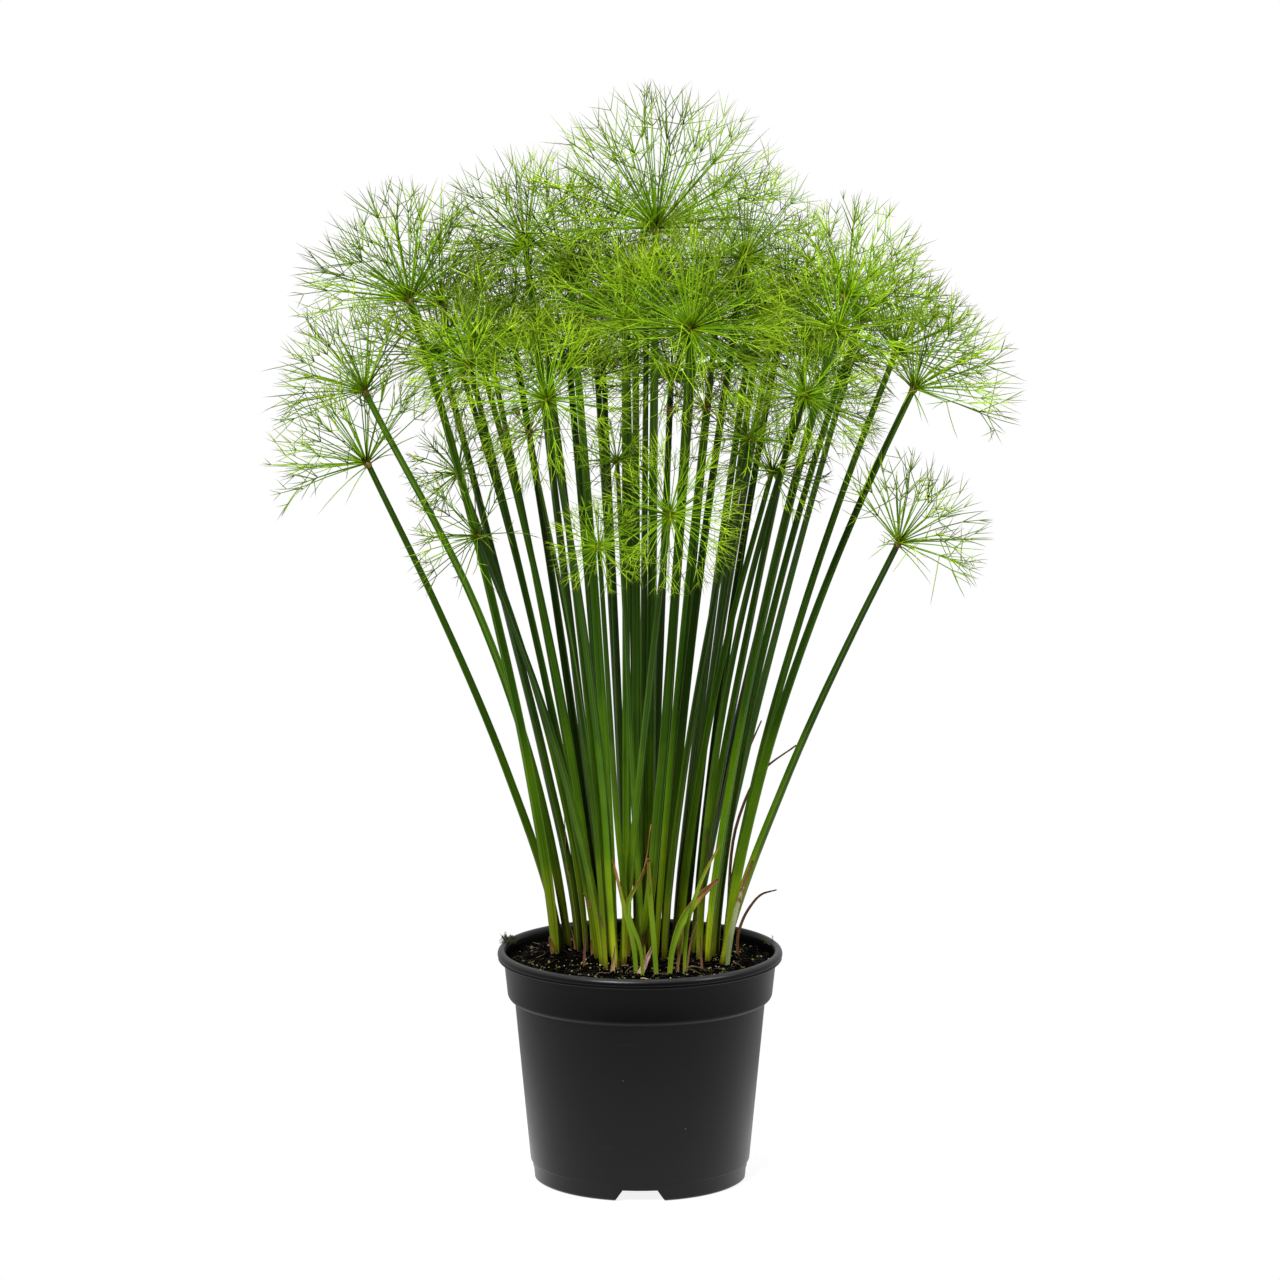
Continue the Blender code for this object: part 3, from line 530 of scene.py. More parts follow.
crumbs = Pile()
flat = spread(CRUMB_COUNT, CRUMB_REACH, chance)
sizes = CRUMB_LEAST + CRUMB_GAIN * chance.uniform(0, 1, CRUMB_COUNT) ** CRUMB_POWER
shoot_nodes = sorted(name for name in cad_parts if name.startswith("stem_"))
for name in shoot_nodes:
    corners = np.array([v.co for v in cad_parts[name].data.vertices])
    foot = corners[corners[:, 2] < corners[:, 2].min() + FOOT_SLICE].mean(axis=0)
    turns = chance.uniform(0, 2 * math.pi, FOOT_CRUMBS)
    away = chance.uniform(*FOOT_CRUMBS_AWAY, FOOT_CRUMBS)
    beside = np.stack([foot[0] + away * np.cos(turns), foot[1] + away * np.sin(turns)], axis=1)
    flat = np.concatenate([flat, beside])
    sizes = np.concatenate([sizes, chance.uniform(*FOOT_CRUMB_SIZES, FOOT_CRUMBS)])
places = [(x, y, soil_height(x, y) + size * CRUMB_LIFT) for (x, y), size in zip(flat, sizes)]
scatter_grains(crumbs, places, sizes, chance.uniform(0, 1, (len(sizes), 3)), chance)
crumb_peat = peat.copy()
crumb_peat.name = "loose_peat"
crumb_tone = ramp(crumb_peat, carried(crumb_peat, "tint", "X"), (
    (0.0, (0.0004, 0.0003, 0.0002)), (0.70, (0.0018, 0.0012, 0.0006)), (0.90, (0.010, 0.007, 0.0035)),
    (0.985, (0.30, 0.24, 0.13))))
crumb_peat.node_tree.links.new(crumb_tone, crumb_peat.node_tree.nodes["Principled BSDF"].inputs["Base Color"])
crumb_piece = crumbs.piece("peat_crumbs", [crumb_peat], smooth=False)
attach(crumb_piece, "root")


# Root threads, bits of straw and peat fibres lie curled over the compost. All of them are dead and
# dry, and none is much over a millimetre thick. A few roots arch up out of it at the front.
FIBRE_COUNT = 430
FIBRE_REACH = 0.95
FIBRE_LENGTHS = (0.005, 0.022)
FIBRE_ARCH = 0.0016
FIBRE_RADII = (0.00008, 0.00020)
FIBRE_TAPER = (1.0, 1.0, 1.0, 0.9, 0.8, 0.7, 0.5)
STRAW_COUNT = 9
STRAW_REACH = 0.93
STRAW_LENGTHS = (0.004, 0.010)
STRAW_ARCH = 0.0008
STRAW_RADII = (0.0003, 0.0006)
STRAW_TAPER = (1.0, 1.0, 1.0, 1.0, 0.8)
LYING_REACH = SOIL_TOP_RADIUS * 0.975
LYING_LIFT = 0.0003
LYING_CURL = 0.9
LYING_ARCH = (0.2, 1.0)
ROOT_LOOPS = (
    ((-0.010, -0.050), (0.006, -0.048), 0.0052), ((0.028, -0.050), (0.045, -0.052), 0.0060),
    ((0.030, -0.047), (0.041, -0.056), 0.0035), ((0.060, -0.030), (0.068, -0.036), 0.0042),
    ((-0.030, -0.058), (-0.018, -0.052), 0.0026), ((0.008, -0.056), (0.020, -0.060), 0.0024))
ROOT_SWAY, ROOT_WAVES, ROOT_ARCH_POWER = 0.0016, 2.6, 0.8
ROOT_DEPTH = 0.0002
ROOT_RADII = np.array((2.4, 2.4, 2.2, 2.2, 2.0, 2.0, 1.8, 1.6, 0.0)) * 1e-4
ROOT_SIDES, ROOT_TONE = 5, 0.92
STRAW_SIDES, STRAW_TONE = 4, 1.0
NO_LENGTH, NEARLY_UP = 1e-12, 0.8


def unit(vectors):
    """Vectors brought to a length of one."""
    return vectors / (np.linalg.norm(vectors, axis=-1, keepdims=True) + NO_LENGTH)


def off_line(ways):
    """For each way, a direction that is clearly not along it."""
    return np.where(np.abs(ways[..., 2:]) < NEARLY_UP, (0.0, 0.0, 1.0), (1.0, 0.0, 0.0))


def threads(pile, lines, radii, sides=3, slot=0, along=None, tone=0.0):
    """Thin closed tubes along many lines at once, each with its radii, and each ending in a point."""
    lines, radii = np.asarray(lines, float), np.asarray(radii, float)
    count, steps, _ = lines.shape
    ahead = unit(np.gradient(lines, axis=1))
    side = unit(np.cross(ahead, off_line(ahead[:, :1])))
    up = np.cross(ahead, side)
    turns = around_turn(sides)[:, None]
    rings = np.cos(turns) * side[:, :-1, None] + np.sin(turns) * up[:, :-1, None]
    rings = lines[:, :-1, None] + radii[:, :-1, None, None] * rings
    points = np.concatenate([rings.reshape(count, -1, 3), lines[:, -1:]], axis=1)
    faces = []
    for row in range(steps - 2):
        for k in range(sides):
            a, b = row * sides + k, row * sides + (k + 1) % sides
            faces += [(a, b, b + sides), (a, b + sides, a + sides)]
    last = (steps - 2) * sides
    faces += [(last + k, last + (k + 1) % sides, last + sides) for k in range(sides)]
    faces += [(0, k + 1, k) for k in range(1, sides - 1)]
    all_faces = np.array(faces)[None] + points.shape[1] * np.arange(count)[:, None, None]
    along = np.broadcast_to(np.linspace(0, 1, steps) if along is None else along, (count, steps))
    shares = np.concatenate([np.repeat(along[:, :-1], sides, axis=1), along[:, -1:]], axis=1)
    tones = np.broadcast_to(np.asarray(tone, float).reshape(-1, 1), shares.shape)
    tint = np.stack([shares, tones, np.zeros(shares.shape)], axis=2)
    pile.add(points, all_faces, slot, tint=tint.reshape(-1, 3))


def lying_lines(places, lengths, chance, lift, steps):
    """Curled lines that lie on the compost: each starts at its place and turns a little as it goes."""
    lines = []
    for (x, y), length in zip(places, lengths):
        heading, curl = chance.uniform(0, ANY_TURN), chance.uniform(-LYING_CURL, LYING_CURL)
        line, arch = [], chance.uniform(*LYING_ARCH) * lift
        for k in range(steps):
            out = math.hypot(x, y)
            if out > LYING_REACH:
                x, y = x * LYING_REACH / out, y * LYING_REACH / out
            z = soil_height(x, y) + LYING_LIFT + arch * math.sin(math.pi * k / (steps - 1))
            line.append((x, y, z))
            x, y = x + math.cos(heading) * length / steps, y + math.sin(heading) * length / steps
            heading += curl / 2
        lines.append(line)
    return np.array(lines)


fibres = Pile()
places, lengths = spread(FIBRE_COUNT, FIBRE_REACH, chance), chance.uniform(*FIBRE_LENGTHS, FIBRE_COUNT)
lines = lying_lines(places, lengths, chance, FIBRE_ARCH, len(FIBRE_TAPER))
thick = chance.uniform(*FIBRE_RADII, (FIBRE_COUNT, 1)) * FIBRE_TAPER
threads(fibres, lines, thick, tone=chance.uniform(0, 1, FIBRE_COUNT))
places, lengths = spread(STRAW_COUNT, STRAW_REACH, chance), chance.uniform(*STRAW_LENGTHS, STRAW_COUNT)
lines = lying_lines(places, lengths, chance, STRAW_ARCH, len(STRAW_TAPER))
thick = chance.uniform(*STRAW_RADII, (STRAW_COUNT, 1)) * STRAW_TAPER
threads(fibres, lines, thick, STRAW_SIDES, tone=STRAW_TONE)
for start, end, arch in ROOT_LOOPS:
    steps = np.linspace(0, 1, len(ROOT_RADII))
    x, y = (start[way] + (end[way] - start[way]) * steps for way in (0, 1))
    y = y + ROOT_SWAY * np.sin(steps * ROOT_WAVES * math.pi)
    z = np.array([soil_height(a, b) for a, b in zip(x, y)]) - ROOT_DEPTH
    z += arch * np.sin(math.pi * steps) ** ROOT_ARCH_POWER
    threads(fibres, np.stack([x, y, z], axis=1)[None], ROOT_RADII[None], ROOT_SIDES, tone=ROOT_TONE)

fibre_brown = new_finish("root_and_straw")
fibre_tone = ramp(fibre_brown, carried(fibre_brown, "tint", "Y"), (
    (0.0, (0.001, 0.0007, 0.0004)), (0.66, (0.004, 0.0026, 0.0014)), (0.88, (0.050, 0.034, 0.016)),
    (1.0, (0.50, 0.38, 0.19))))
mottle = grain(fibre_brown, on_piece(fibre_brown), 700.0)
dark_spots = span(fibre_brown, mottle, 0.35, 0.7, 0.0, 0.6)
fibre_tone = laid_over(fibre_brown, dark_spots, fibre_tone, (0.010, 0.007, 0.004))
finish_with(fibre_brown, fibre_tone, (0.68, 0.82), mottle, 0.4, 0.0001)
fibre_piece = fibres.piece("root_fibres", [fibre_brown])
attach(fibre_piece, "root")


# Specks of grit and perlite, pale yellow to white, were mixed into the compost and show on its
# top, most of them near the front and the right.
GRIT_COUNT = 190
GRIT_REACH = 0.95
GRIT_SIZES = (0.0003, 0.0009)
GRIT_LIFT = 0.0006
GRIT_IN_FRONT_OF, GRIT_RIGHT_OF = -0.01, 0.05

grit = Pile()
flat = spread(GRIT_COUNT, GRIT_REACH, chance)
flat = flat[(flat[:, 1] < GRIT_IN_FRONT_OF) | (flat[:, 0] > GRIT_RIGHT_OF)]
sizes = chance.uniform(*GRIT_SIZES, len(flat))
places = [(x, y, soil_height(x, y) + GRIT_LIFT) for x, y in flat]
scatter_grains(grit, places, sizes, chance.uniform(0, 1, (len(flat), 3)), chance)
grit_pale = new_finish("grit_and_perlite")
grit_tone = ramp(grit_pale, carried(grit_pale, "tint", "X"), (
    (0.0, (0.22, 0.22, 0.02)), (0.5, (0.40, 0.44, 0.06)), (0.85, (0.52, 0.50, 0.30)),
    (1.0, (0.66, 0.64, 0.54))))
pits = grain(grit_pale, on_piece(grit_pale), 2200.0)
finish_with(grit_pale, grit_tone, (0.74, 0.86), pits, 0.5, 0.0002)
grit_piece = grit.piece("grit_specks", [grit_pale], smooth=False)
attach(grit_piece, "root")


# Small sprigs of yellow-green moss grow on the compost at the front and the sides. A darker tuft
# of it hangs over the rim on the left, and two sprigs cling to the rim on the right.
MOSS_COUNT = 110
MOSS_REACH = 0.94
MOSS_SIZES, MOSS_TONES = (0.0014, 0.0034), (0.45, 1.0)
MOSS_SHOOTS = 3
MOSS_FRONT, MOSS_OUT, MOSS_BACK_LEFT, MOSS_BACK_RIGHT = -0.035, 0.06, 0.0, 0.03
TUFT_SPRIGS, TUFT_SHOOTS = 16, 4
TUFT_X, TUFT_Y, TUFT_Z = (-0.0045, 0.004), (-0.012, 0.006), 0.1545
TUFT_PLACE = (-0.0865, 0.029)
TUFT_SIZES, TUFT_TONES, TUFT_LEAN = (0.004, 0.0075), (0.0, 0.25), (-0.5, -0.1)
RIM_SPRIGS = (
    ((0.0875, 0.020, 0.1540), 0.0065, 0.15, (-0.4, 0.0)),
    ((0.0868, 0.0215, 0.1535), 0.0050, 0.6, (-0.6, -0.4)))
SPRIG_LEAVES = 7
SPRIG_LEAF = 0.30
SPRIG_SPREAD = 0.25
SPRIG_SCATTER, SPRIG_RISE = 0.7, (0.25, 1.1)
SPRIG_SAG = 0.25
SPRIG_DEPTH = 0.0004
LEAF_RADII, SPRIG_RADII = (0.00016, 0.00022, 0.0), (0.00020, 0.00016, 0.0)
LEAF_AHEAD, LEAF_ASIDE = 0.7, 0.8


def sprig(pile, place, size, shoots, chance, tone, lean=(0.0, 0.0)):
    """A moss sprig: short shoots that spread from one place, each with leaves along it."""
    lines, thick = [], []
    for _ in range(shoots):
        way = unit(np.array((*chance.normal(lean, SPRIG_SCATTER), chance.uniform(*SPRIG_RISE))))
        length = size * chance.uniform(0.5, 1.0)
        start = np.array(place) + (*chance.uniform(-SPRIG_SPREAD, SPRIG_SPREAD, 2) * size, -SPRIG_DEPTH)
        sag = np.array((0.0, 0.0, -SPRIG_SAG * length))
        for k in range(SPRIG_LEAVES):
            root = start + way * length * k / SPRIG_LEAVES + sag * (k / SPRIG_LEAVES) ** 2
            leaf = (way * LEAF_AHEAD + unit(chance.normal(0, 1, 3)) * LEAF_ASIDE) * size * SPRIG_LEAF
            lines.append([root, root + leaf / 2, root + leaf])
            thick.append(LEAF_RADII)
        tip = start + way * length + sag
        lines.append([start, (start + tip) / 2, tip])
        thick.append(SPRIG_RADII)
    threads(pile, lines, thick, tone=tone)


moss = Pile()
for x, y in spread(MOSS_COUNT, MOSS_REACH, chance):
    if y < MOSS_FRONT or (x > MOSS_OUT and y < MOSS_BACK_RIGHT) or (x < -MOSS_OUT and y < MOSS_BACK_LEFT):
        size, tone = chance.uniform(*MOSS_SIZES), chance.uniform(*MOSS_TONES)
        sprig(moss, (x, y, soil_height(x, y)), size, MOSS_SHOOTS, chance, tone)
for _ in range(TUFT_SPRIGS):
    x, y = TUFT_PLACE[0] + chance.uniform(*TUFT_X), TUFT_PLACE[1] + chance.uniform(*TUFT_Y)
    size, tone = chance.uniform(*TUFT_SIZES), chance.uniform(*TUFT_TONES)
    sprig(moss, (x, y, TUFT_Z), size, TUFT_SHOOTS, chance, tone, TUFT_LEAN)
for place, size, tone, lean in RIM_SPRIGS:
    sprig(moss, place, size, MOSS_SHOOTS, chance, tone, lean)
moss_green = new_finish("moss")
moss_tone = ramp(moss_green, carried(moss_green, "tint", "Y"), (
    (0.0, (0.016, 0.018, 0.008)), (0.3, (0.05, 0.06, 0.015)), (0.7, (0.20, 0.24, 0.03)),
    (1.0, (0.42, 0.44, 0.10))))
shade = grain(moss_green, on_piece(moss_green), 900.0)
shaded = laid_over(moss_green, span(moss_green, shade, 0.4, 0.7, 0.0, 0.5), moss_tone, (0.03, 0.035, 0.01))
finish_with(moss_green, shaded, (0.64, 0.76), shade, 0.4, 0.0001)
moss_piece = moss.piece("moss_sprigs", [moss_green])
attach(moss_piece, "root")


# Each shoot is one three-sided culm that carries an umbel: a brown knob with a few thin bracts and
# scores of thread-like rays, each of which forks near its end into a few fine raylets. A dry leaf
# sheath still hugs the foot of some. Each solid gives its shoot's line, hub, nod and reach.
SAME_POINT = 0.00003
RING_GAP = 0.020
NECK_DROP = 0.014
LINE_STEPS = 9
UMBEL_MOST = 0.1
# The culm: its thickness, its section, and how light it is: a tone that differs at random, darker for culms
# further back and at their feet, which is painted shade, and held light for the outer culms, which is painted
# light.
CULM_WIDEST, CULM_TAPER = 1.16, 0.38
FOOT_LEAST, FOOT_GAIN = 0.0018, 0.028
FOOT_NARROW, FOOT_FROM, FOOT_TO = 0.74, 0.150, 0.200
CORNER_ROUND, CORNER_TURNS, SIDE_FLAT, SECTION_TURN = 0.13, (-0.85, 0.0, 0.85), 0.505, 2.1
CULM_TONE, CULM_PAINTED_SHADE_BY_DEPTH, CULM_TONE_SPREAD, OUTER_CULM_PAINTED_LIGHT = 0.5, 2.2, 0.27, 0.45
BEHIND_FROM, BEHIND_OVER = 0.030, 0.055
SHADED_BELOW, SHADED_OVER = 0.34, 0.16
PATTERN_STEP = 7.3
# The knob: its radius grows with the umbel's reach, and its outline is in shares of that radius.
KNOB_LEAST, KNOB_GAIN, KNOB_SIDES, KNOB_ENDS = 0.0014, 0.018, 8, (-1.5, 1.0)
KNOB_SHAPE = np.array((0.62, 0.80, 0.95, 1.0, 0.92, 0.70, 0.25))
MIDDLE_TONE = 0.5
# How many rays an umbel has, how thick and light they are, and how far round they reach: the outer
# umbels and the top one are open, and those that nod forwards are full. Umbels further back have
# darker rays, which is painted shade.
OUTER_FROM = 0.13
NODS_FROM = -0.42
RAYS_LEAST, RAYS_GAIN = 20, 13500
OPEN_RAYS, TOP_RAYS, OPEN_RAY_WIDTH = 0.54, 0.60, 1.14
NODDING_RAYS, NODDING_RAY_WIDTH = 1.6, 0.76
RAY_RADIUS, RAYLET_SHARE = 0.00041, 0.70
RAY_TONE, RAY_PAINTED_SHADE_BY_DEPTH, RAY_TONE_SPREAD, RAY_TONES = 0.52, 0.6, 0.06, (0.42, 0.68)
OPEN_TONE, OWN_TONE_SPREAD = 0.24, 0.28
OUTER_LOWEST, TOP_LOWEST, INNER_LOWEST, NODDING_LOWEST = 0.20, 0.02, -0.36, -0.6
DYING = ("stem_08", "stem_24")
SPARSE, SPARSE_RAYS, SPARSE_LOWEST = "stem_05", 0.55, 0.1
# How rays, raylets and twigs stand to one another, in radians and in shares of the umbel's reach.
GOLDEN_ANGLE = math.radians(137.5)
RAY_WANDER, RAY_BOW, RAY_DROOP = 0.07, 0.02, 0.05
FORKS = (0.50, 0.71)
RAYLETS_LEAST, RAYLETS_MOST, RAYLET_OVERLAP = 3, 5, 0.0004
RAYLET_TURN, RAY_TURN, TURN_SPREAD = 2.2, 1.9, 0.4
RAYLET_LENGTHS, TWIG_LENGTHS, FINE_BOW, SHORTEST = (0.24, 0.50), (0.12, 0.27), 0.05, 0.05
FIRST_ANGLES, OTHER_ANGLES, WIDE_ANGLES, WIDE_SHARE = (0.05, 0.28), (0.28, 0.85), (1.0, 1.8), 0.14
TWIG_SHARE, TWIGS_AT, TWIG_ANGLES = 0.26, (0.2, 1.0), (0.4, 1.0)
BRACTS, BRACT_SIDES, BRACT_ANGLES, BRACT_LENGTHS = 4, 4, (1.35, 1.75), (0.35, 0.75)
BRACT_SAG, BRACTS_UNDER = 0.22, 0.6
# Each kind of thread: shares of its length, its thickness there, and its ripeness there.
RAY = ((0.0, 0.22, 0.6, 0.985, 1.0), (1.35, 0.98, 0.92, 0.88, 0.0), (0.0, 0.12, 0.35, 0.55, 0.56))
RAYLET = ((0.0, 0.35, 0.7, 1.0), (1.1, 1.0, 0.88, 0.40), (0.56, 0.70, 0.87, 1.0))
TWIG = ((0.0, 0.55, 1.0), (0.90, 0.75, 0.28), (0.74, 0.88, 1.0))
BRACT = ((0.0, 0.2, 0.4, 0.6, 0.8, 1.0), (0.0005, 0.00045, 0.0004, 0.00035, 0.00025, 0.0),
         (0.3, 0.4, 0.6, 0.8, 0.9, 1.0))
# The dry sheath at the foot of some shoots.
SHEATH_ROWS, SHEATH_ACROSS = 11, 7
SHEATH_FOOT, SHEATH_HEIGHTS, SHEATH_WRAP, SHEATH_TIP = 0.1455, (0.008, 0.026), (0.3, 0.6), 0.08
SHEATH_GAP, SHEATH_PEEL, SHEATH_THICKNESS = 0.0004, (0.0004, 0.0028), 0.00025
SHEATH_NARROWING, SHEATH_RAGGED = 2.2, (0.85, 1.0)
SHEATH_EVERY, SHEATHED = 5, (0, 2)
# The order of a shoot's finishes.
CULM_SLOT, RAY_SLOT, DYING_SLOT, KNOB_SLOT, SHEATH_SLOT = range(5)


def shoot_shape(node):
    """The centre line of a shoot's solid from foot to hub, the way its umbel faces, and its reach."""
    corners = np.array([v.co for v in node.data.vertices], float)
    first = (np.linalg.norm(corners[:, None] - corners, axis=2) < SAME_POINT).argmax(axis=1)
    kept, which = np.unique(first, return_inverse=True)
    points = corners[kept]
    beside = [set() for _ in points]
    for face in node.data.polygons:
        around = {int(which.flat[v]) for v in face.vertices}
        for corner in around:
            beside[corner] |= around
    ring = {int(k) for k in np.argsort(points[:, 2])[:3]}
    passed, ahead, middles = set(), set(), []
    while len(ring) in (2, 3):
        middles.append(points[sorted(ring)].mean(axis=0))
        passed |= ring
        ahead = (ahead | set().union(*(beside[corner] for corner in ring))) - passed
        level = min(points[corner, 2] for corner in ahead)
        pair = {corner for corner in ahead if points[corner, 2] < level + SAME_POINT}
        ring = pair if len(pair) == 2 and level > middles[-1][2] + RING_GAP else ahead
    line = np.array(middles[:-1])
    hub = line[-1] + unit(line[-1] - line[-2]) * NECK_DROP
    away = np.linalg.norm(points - hub, axis=1)
    away[sorted(passed)] = 0.0
    reach = away.max()
    return np.vstack([line, hub]), unit(unit(points[away > reach / 2] - hub).mean(axis=0)), reach


def smooth_line(points, steps):
    """A smooth line through points, with about the given number of steps between two of them."""
    gaps = np.linalg.norm(np.diff(points, axis=0), axis=1)
    slope = np.gradient(points, np.concatenate([[0.0], np.cumsum(gaps)]), axis=0)
    line = []
    for k, gap in enumerate(gaps):
        for t in np.arange(steps) / steps:
            a, b = 2 * t ** 3 - 3 * t ** 2 + 1, -2 * t ** 3 + 3 * t ** 2
            c, d = t ** 3 - 2 * t ** 2 + t, t ** 3 - t ** 2
            line.append(a * points[k] + b * points[k + 1] + gap * (c * slope[k] + d * slope[k + 1]))
    return np.array([*line, points[-1]])


def three_sided(turn):
    """A culm's section at unit circumradius: flat sides and rounded corners."""
    section = []
    for corner in turn + around_turn(3):
        centre = (1 - 2 * CORNER_ROUND) * np.array((math.cos(corner), math.sin(corner)))
        for off in CORNER_TURNS:
            section.append(centre + CORNER_ROUND * np.array((math.cos(corner + off), math.sin(corner + off))))
        middle = corner + math.pi / 3
        section.append(SIDE_FLAT * np.array((math.cos(middle), math.sin(middle))))
    return np.array(section)


def across_line(line):
    """At each point of a line, two directions that are square to it and to each other."""
    ahead = unit(np.gradient(line, axis=0))
    side = unit(np.cross(ahead, (0.0, 1.0, 0.0)))
    return side, np.cross(ahead, side)


def add_rings(pile, rings, slot, skins, shares, tone, last_tint=1.0):
    """A closed skin over rings of points, each row counter-clockwise as seen from the next."""
    rows, sides, _ = rings.shape
    row, k = np.meshgrid(np.arange(rows - 1), np.arange(sides), indexing="ij")
    a, b = row * sides + k, row * sides + (k + 1) % sides
    walls = [np.stack(f, 2).reshape(-1, 3) for f in ([a, b, b + sides], [a, b + sides, a + sides])]
    top = (rows - 1) * sides
    ends = [(0, k + 1, k) for k in range(1, sides - 1)]
    ends += [(top, top + k, top + k + 1) for k in range(1, sides - 1)]
    tint = [np.repeat(np.broadcast_to(part, rows), sides) for part in (shares, tone, last_tint)]
    pile.add(rings, np.concatenate([*walls, ends]), slot, skins.reshape(-1, 3), np.stack(tint, axis=1))


def add_tube(pile, line, radii, section, slot, tone, along, painted_shades=0.0):
    """A closed tube with a shaped section along one line. Its finish reads the section, how far along, and
    its painted shade.
    """
    side, up = across_line(line)
    rings = section[:, :1] * side[:, None] + section[:, 1:] * up[:, None]
    rings = line[:, None] + radii[:, None, None] * rings
    skins = np.tile(section, (len(line), 1))
    skins = np.concatenate([skins, np.repeat(along, len(section))[:, None]], axis=1)
    add_rings(pile, rings, slot, skins, np.linspace(0, 1, len(line)), tone, painted_shades)


def add_sheath(pile, path, radii, section, chance):
    """A dry leaf sheath at a culm's foot: a thin torn strip that hugs it and stands off at its tip."""
    share = np.linspace(0, 1, SHEATH_ROWS)
    heights = SHEATH_FOOT + share * chance.uniform(*SHEATH_HEIGHTS)
    line = np.stack([np.interp(heights, path[:, 2], path[:, way]) for way in range(3)], axis=1)
    side, up = across_line(line)
    half = chance.uniform(*SHEATH_WRAP) * (1 - share ** SHEATH_NARROWING) + SHEATH_TIP
    half *= chance.uniform(*SHEATH_RAGGED, SHEATH_ROWS)
    turns = chance.uniform(0, ANY_TURN) + half[:, None] * np.linspace(-1, 1, SHEATH_ACROSS)
    section_turns = np.arctan2(section[:, 1], section[:, 0])
    order = np.argsort(section_turns)
    section_reach = np.linalg.norm(section, axis=1)[order]
    hug = np.interp(turns, section_turns[order], section_reach, period=2 * math.pi)
    stand_off = SHEATH_GAP + chance.uniform(*SHEATH_PEEL) * share ** 2
    outer = hug * np.interp(heights, path[:, 2], radii)[:, None] + stand_off[:, None]
    around = np.concatenate([turns, turns[:, ::-1]], axis=1)
    out = np.concatenate([outer, outer[:, ::-1] - SHEATH_THICKNESS], axis=1)[:, :, None]
    round_it = np.cos(around)[:, :, None] * side[:, None] + np.sin(around)[:, :, None] * up[:, None]
    up_skin = np.broadcast_to(heights[:, None], around.shape)
    skins = np.stack([np.cos(around), np.sin(around), up_skin], axis=2)
    add_rings(pile, line[:, None] + out * round_it, SHEATH_SLOT, skins, share, chance.uniform(0, 1))


def spread_ways(ways, angles, turns):
    """Each way tipped by an angle, to the side given by a turn round it."""
    side = unit(np.cross(ways, off_line(ways)))
    out = np.cos(turns)[:, None] * side + np.sin(turns)[:, None] * np.cross(ways, side)
    return np.cos(angles)[:, None] * ways + np.sin(angles)[:, None] * out


def grow(pile, starts, ways, lengths, bows, kind, thick, slot, tones, sides=3):
    """Threads of one kind from their starts along ways, each bowed more and more towards its tip."""
    steps, thickness, ripeness = kind
    steps = np.array(steps)[None, :, None]
    lines = starts[:, None] + lengths[:, None, None] * (ways[:, None] * steps + bows[:, None] * steps ** 2)
    threads(pile, lines, thick * np.tile(thickness, (len(starts), 1)), sides, slot, ripeness, tones)
    return lines


def held_lengths(hub, reach, starts, ways, lengths):
    """Lengths that keep each thread's tip within the umbel's reach of its hub."""
    middle = starts - hub
    along = (middle * ways).sum(axis=1)
    room = np.sqrt(np.maximum(along ** 2 + reach ** 2 - (middle ** 2).sum(axis=1), 0.0)) - along
    return np.clip(lengths, SHORTEST * reach, np.maximum(room, SHORTEST * reach))


def add_umbel(pile, hub, axis, reach, knob, rays, thick, lowest, chance, tone, slot):
    """The rays of one umbel, their raylets and the twigs of some raylets, as closed threads."""
    k = np.arange(rays) + 0.5
    angles = np.arccos(1 - (k / rays) * (1 - lowest))
    ways = spread_ways(np.tile(axis, (rays, 1)), angles, k * GOLDEN_ANGLE + chance.uniform(0, ANY_TURN))
    ways = unit(ways + chance.normal(0, RAY_WANDER, (rays, 3)))
    forks = reach * chance.uniform(*FORKS, rays)
    bows = chance.normal(0, RAY_BOW, (rays, 3))
    bows[:, 2] -= RAY_DROOP * (1 - ways[:, 2] ** 2)
    tones = np.clip(tone + chance.normal(0, OWN_TONE_SPREAD, rays), OPEN_TONE if lowest > 0 else 0.0, 1)
    lines = grow(pile, hub + ways * knob / 2, ways, forks, bows, RAY, thick, slot, tones)

    ends = unit(lines[:, -1] - lines[:, -3])
    which = np.repeat(np.arange(rays), RAYLETS_MOST)
    order = np.tile(np.arange(RAYLETS_MOST), rays)
    keep = order < np.repeat(chance.integers(RAYLETS_LEAST, RAYLETS_MOST + 1, rays), RAYLETS_MOST)
    which, order = which[keep], order[keep]
    count = len(which)
    wide = chance.uniform(0, 1, count) < WIDE_SHARE
    angles = np.where(order == 0, chance.uniform(*FIRST_ANGLES, count), chance.uniform(*OTHER_ANGLES, count))
    angles = np.where(wide & (order > 1), chance.uniform(*WIDE_ANGLES, count), angles)
    turns = order * RAYLET_TURN + which * RAY_TURN + chance.normal(0, TURN_SPREAD, count)
    out = spread_ways(ends[which], angles, turns)
    starts = lines[which, -1] - ends[which] * RAYLET_OVERLAP
    lengths = held_lengths(hub, reach, starts, out, reach * chance.uniform(*RAYLET_LENGTHS, count))
    bows = chance.normal(0, FINE_BOW, (count, 3))
    raylets = grow(pile, starts, out, lengths, bows, RAYLET, thick * RAYLET_SHARE, slot, tones[which])

    twig_of = np.repeat(np.flatnonzero(chance.uniform(0, 1, count) < TWIG_SHARE), 2)
    count = len(twig_of)
    at = np.repeat(chance.uniform(*TWIGS_AT, count // 2), 2)[:, None]
    before, after = raylets[twig_of, 1], raylets[twig_of, 2]
    starts = before * (1 - at) + after * at
    angles, turns = chance.uniform(*TWIG_ANGLES, count), chance.uniform(0, ANY_TURN, count)
    out = spread_ways(unit(after - before), angles, turns)
    lengths = held_lengths(hub, reach, starts, out, reach * chance.uniform(*TWIG_LENGTHS, count))
    bows = chance.normal(0, FINE_BOW, (count, 3))
    grow(pile, starts, out, lengths, bows, TWIG, thick * RAYLET_SHARE, slot, tones[which[twig_of]])


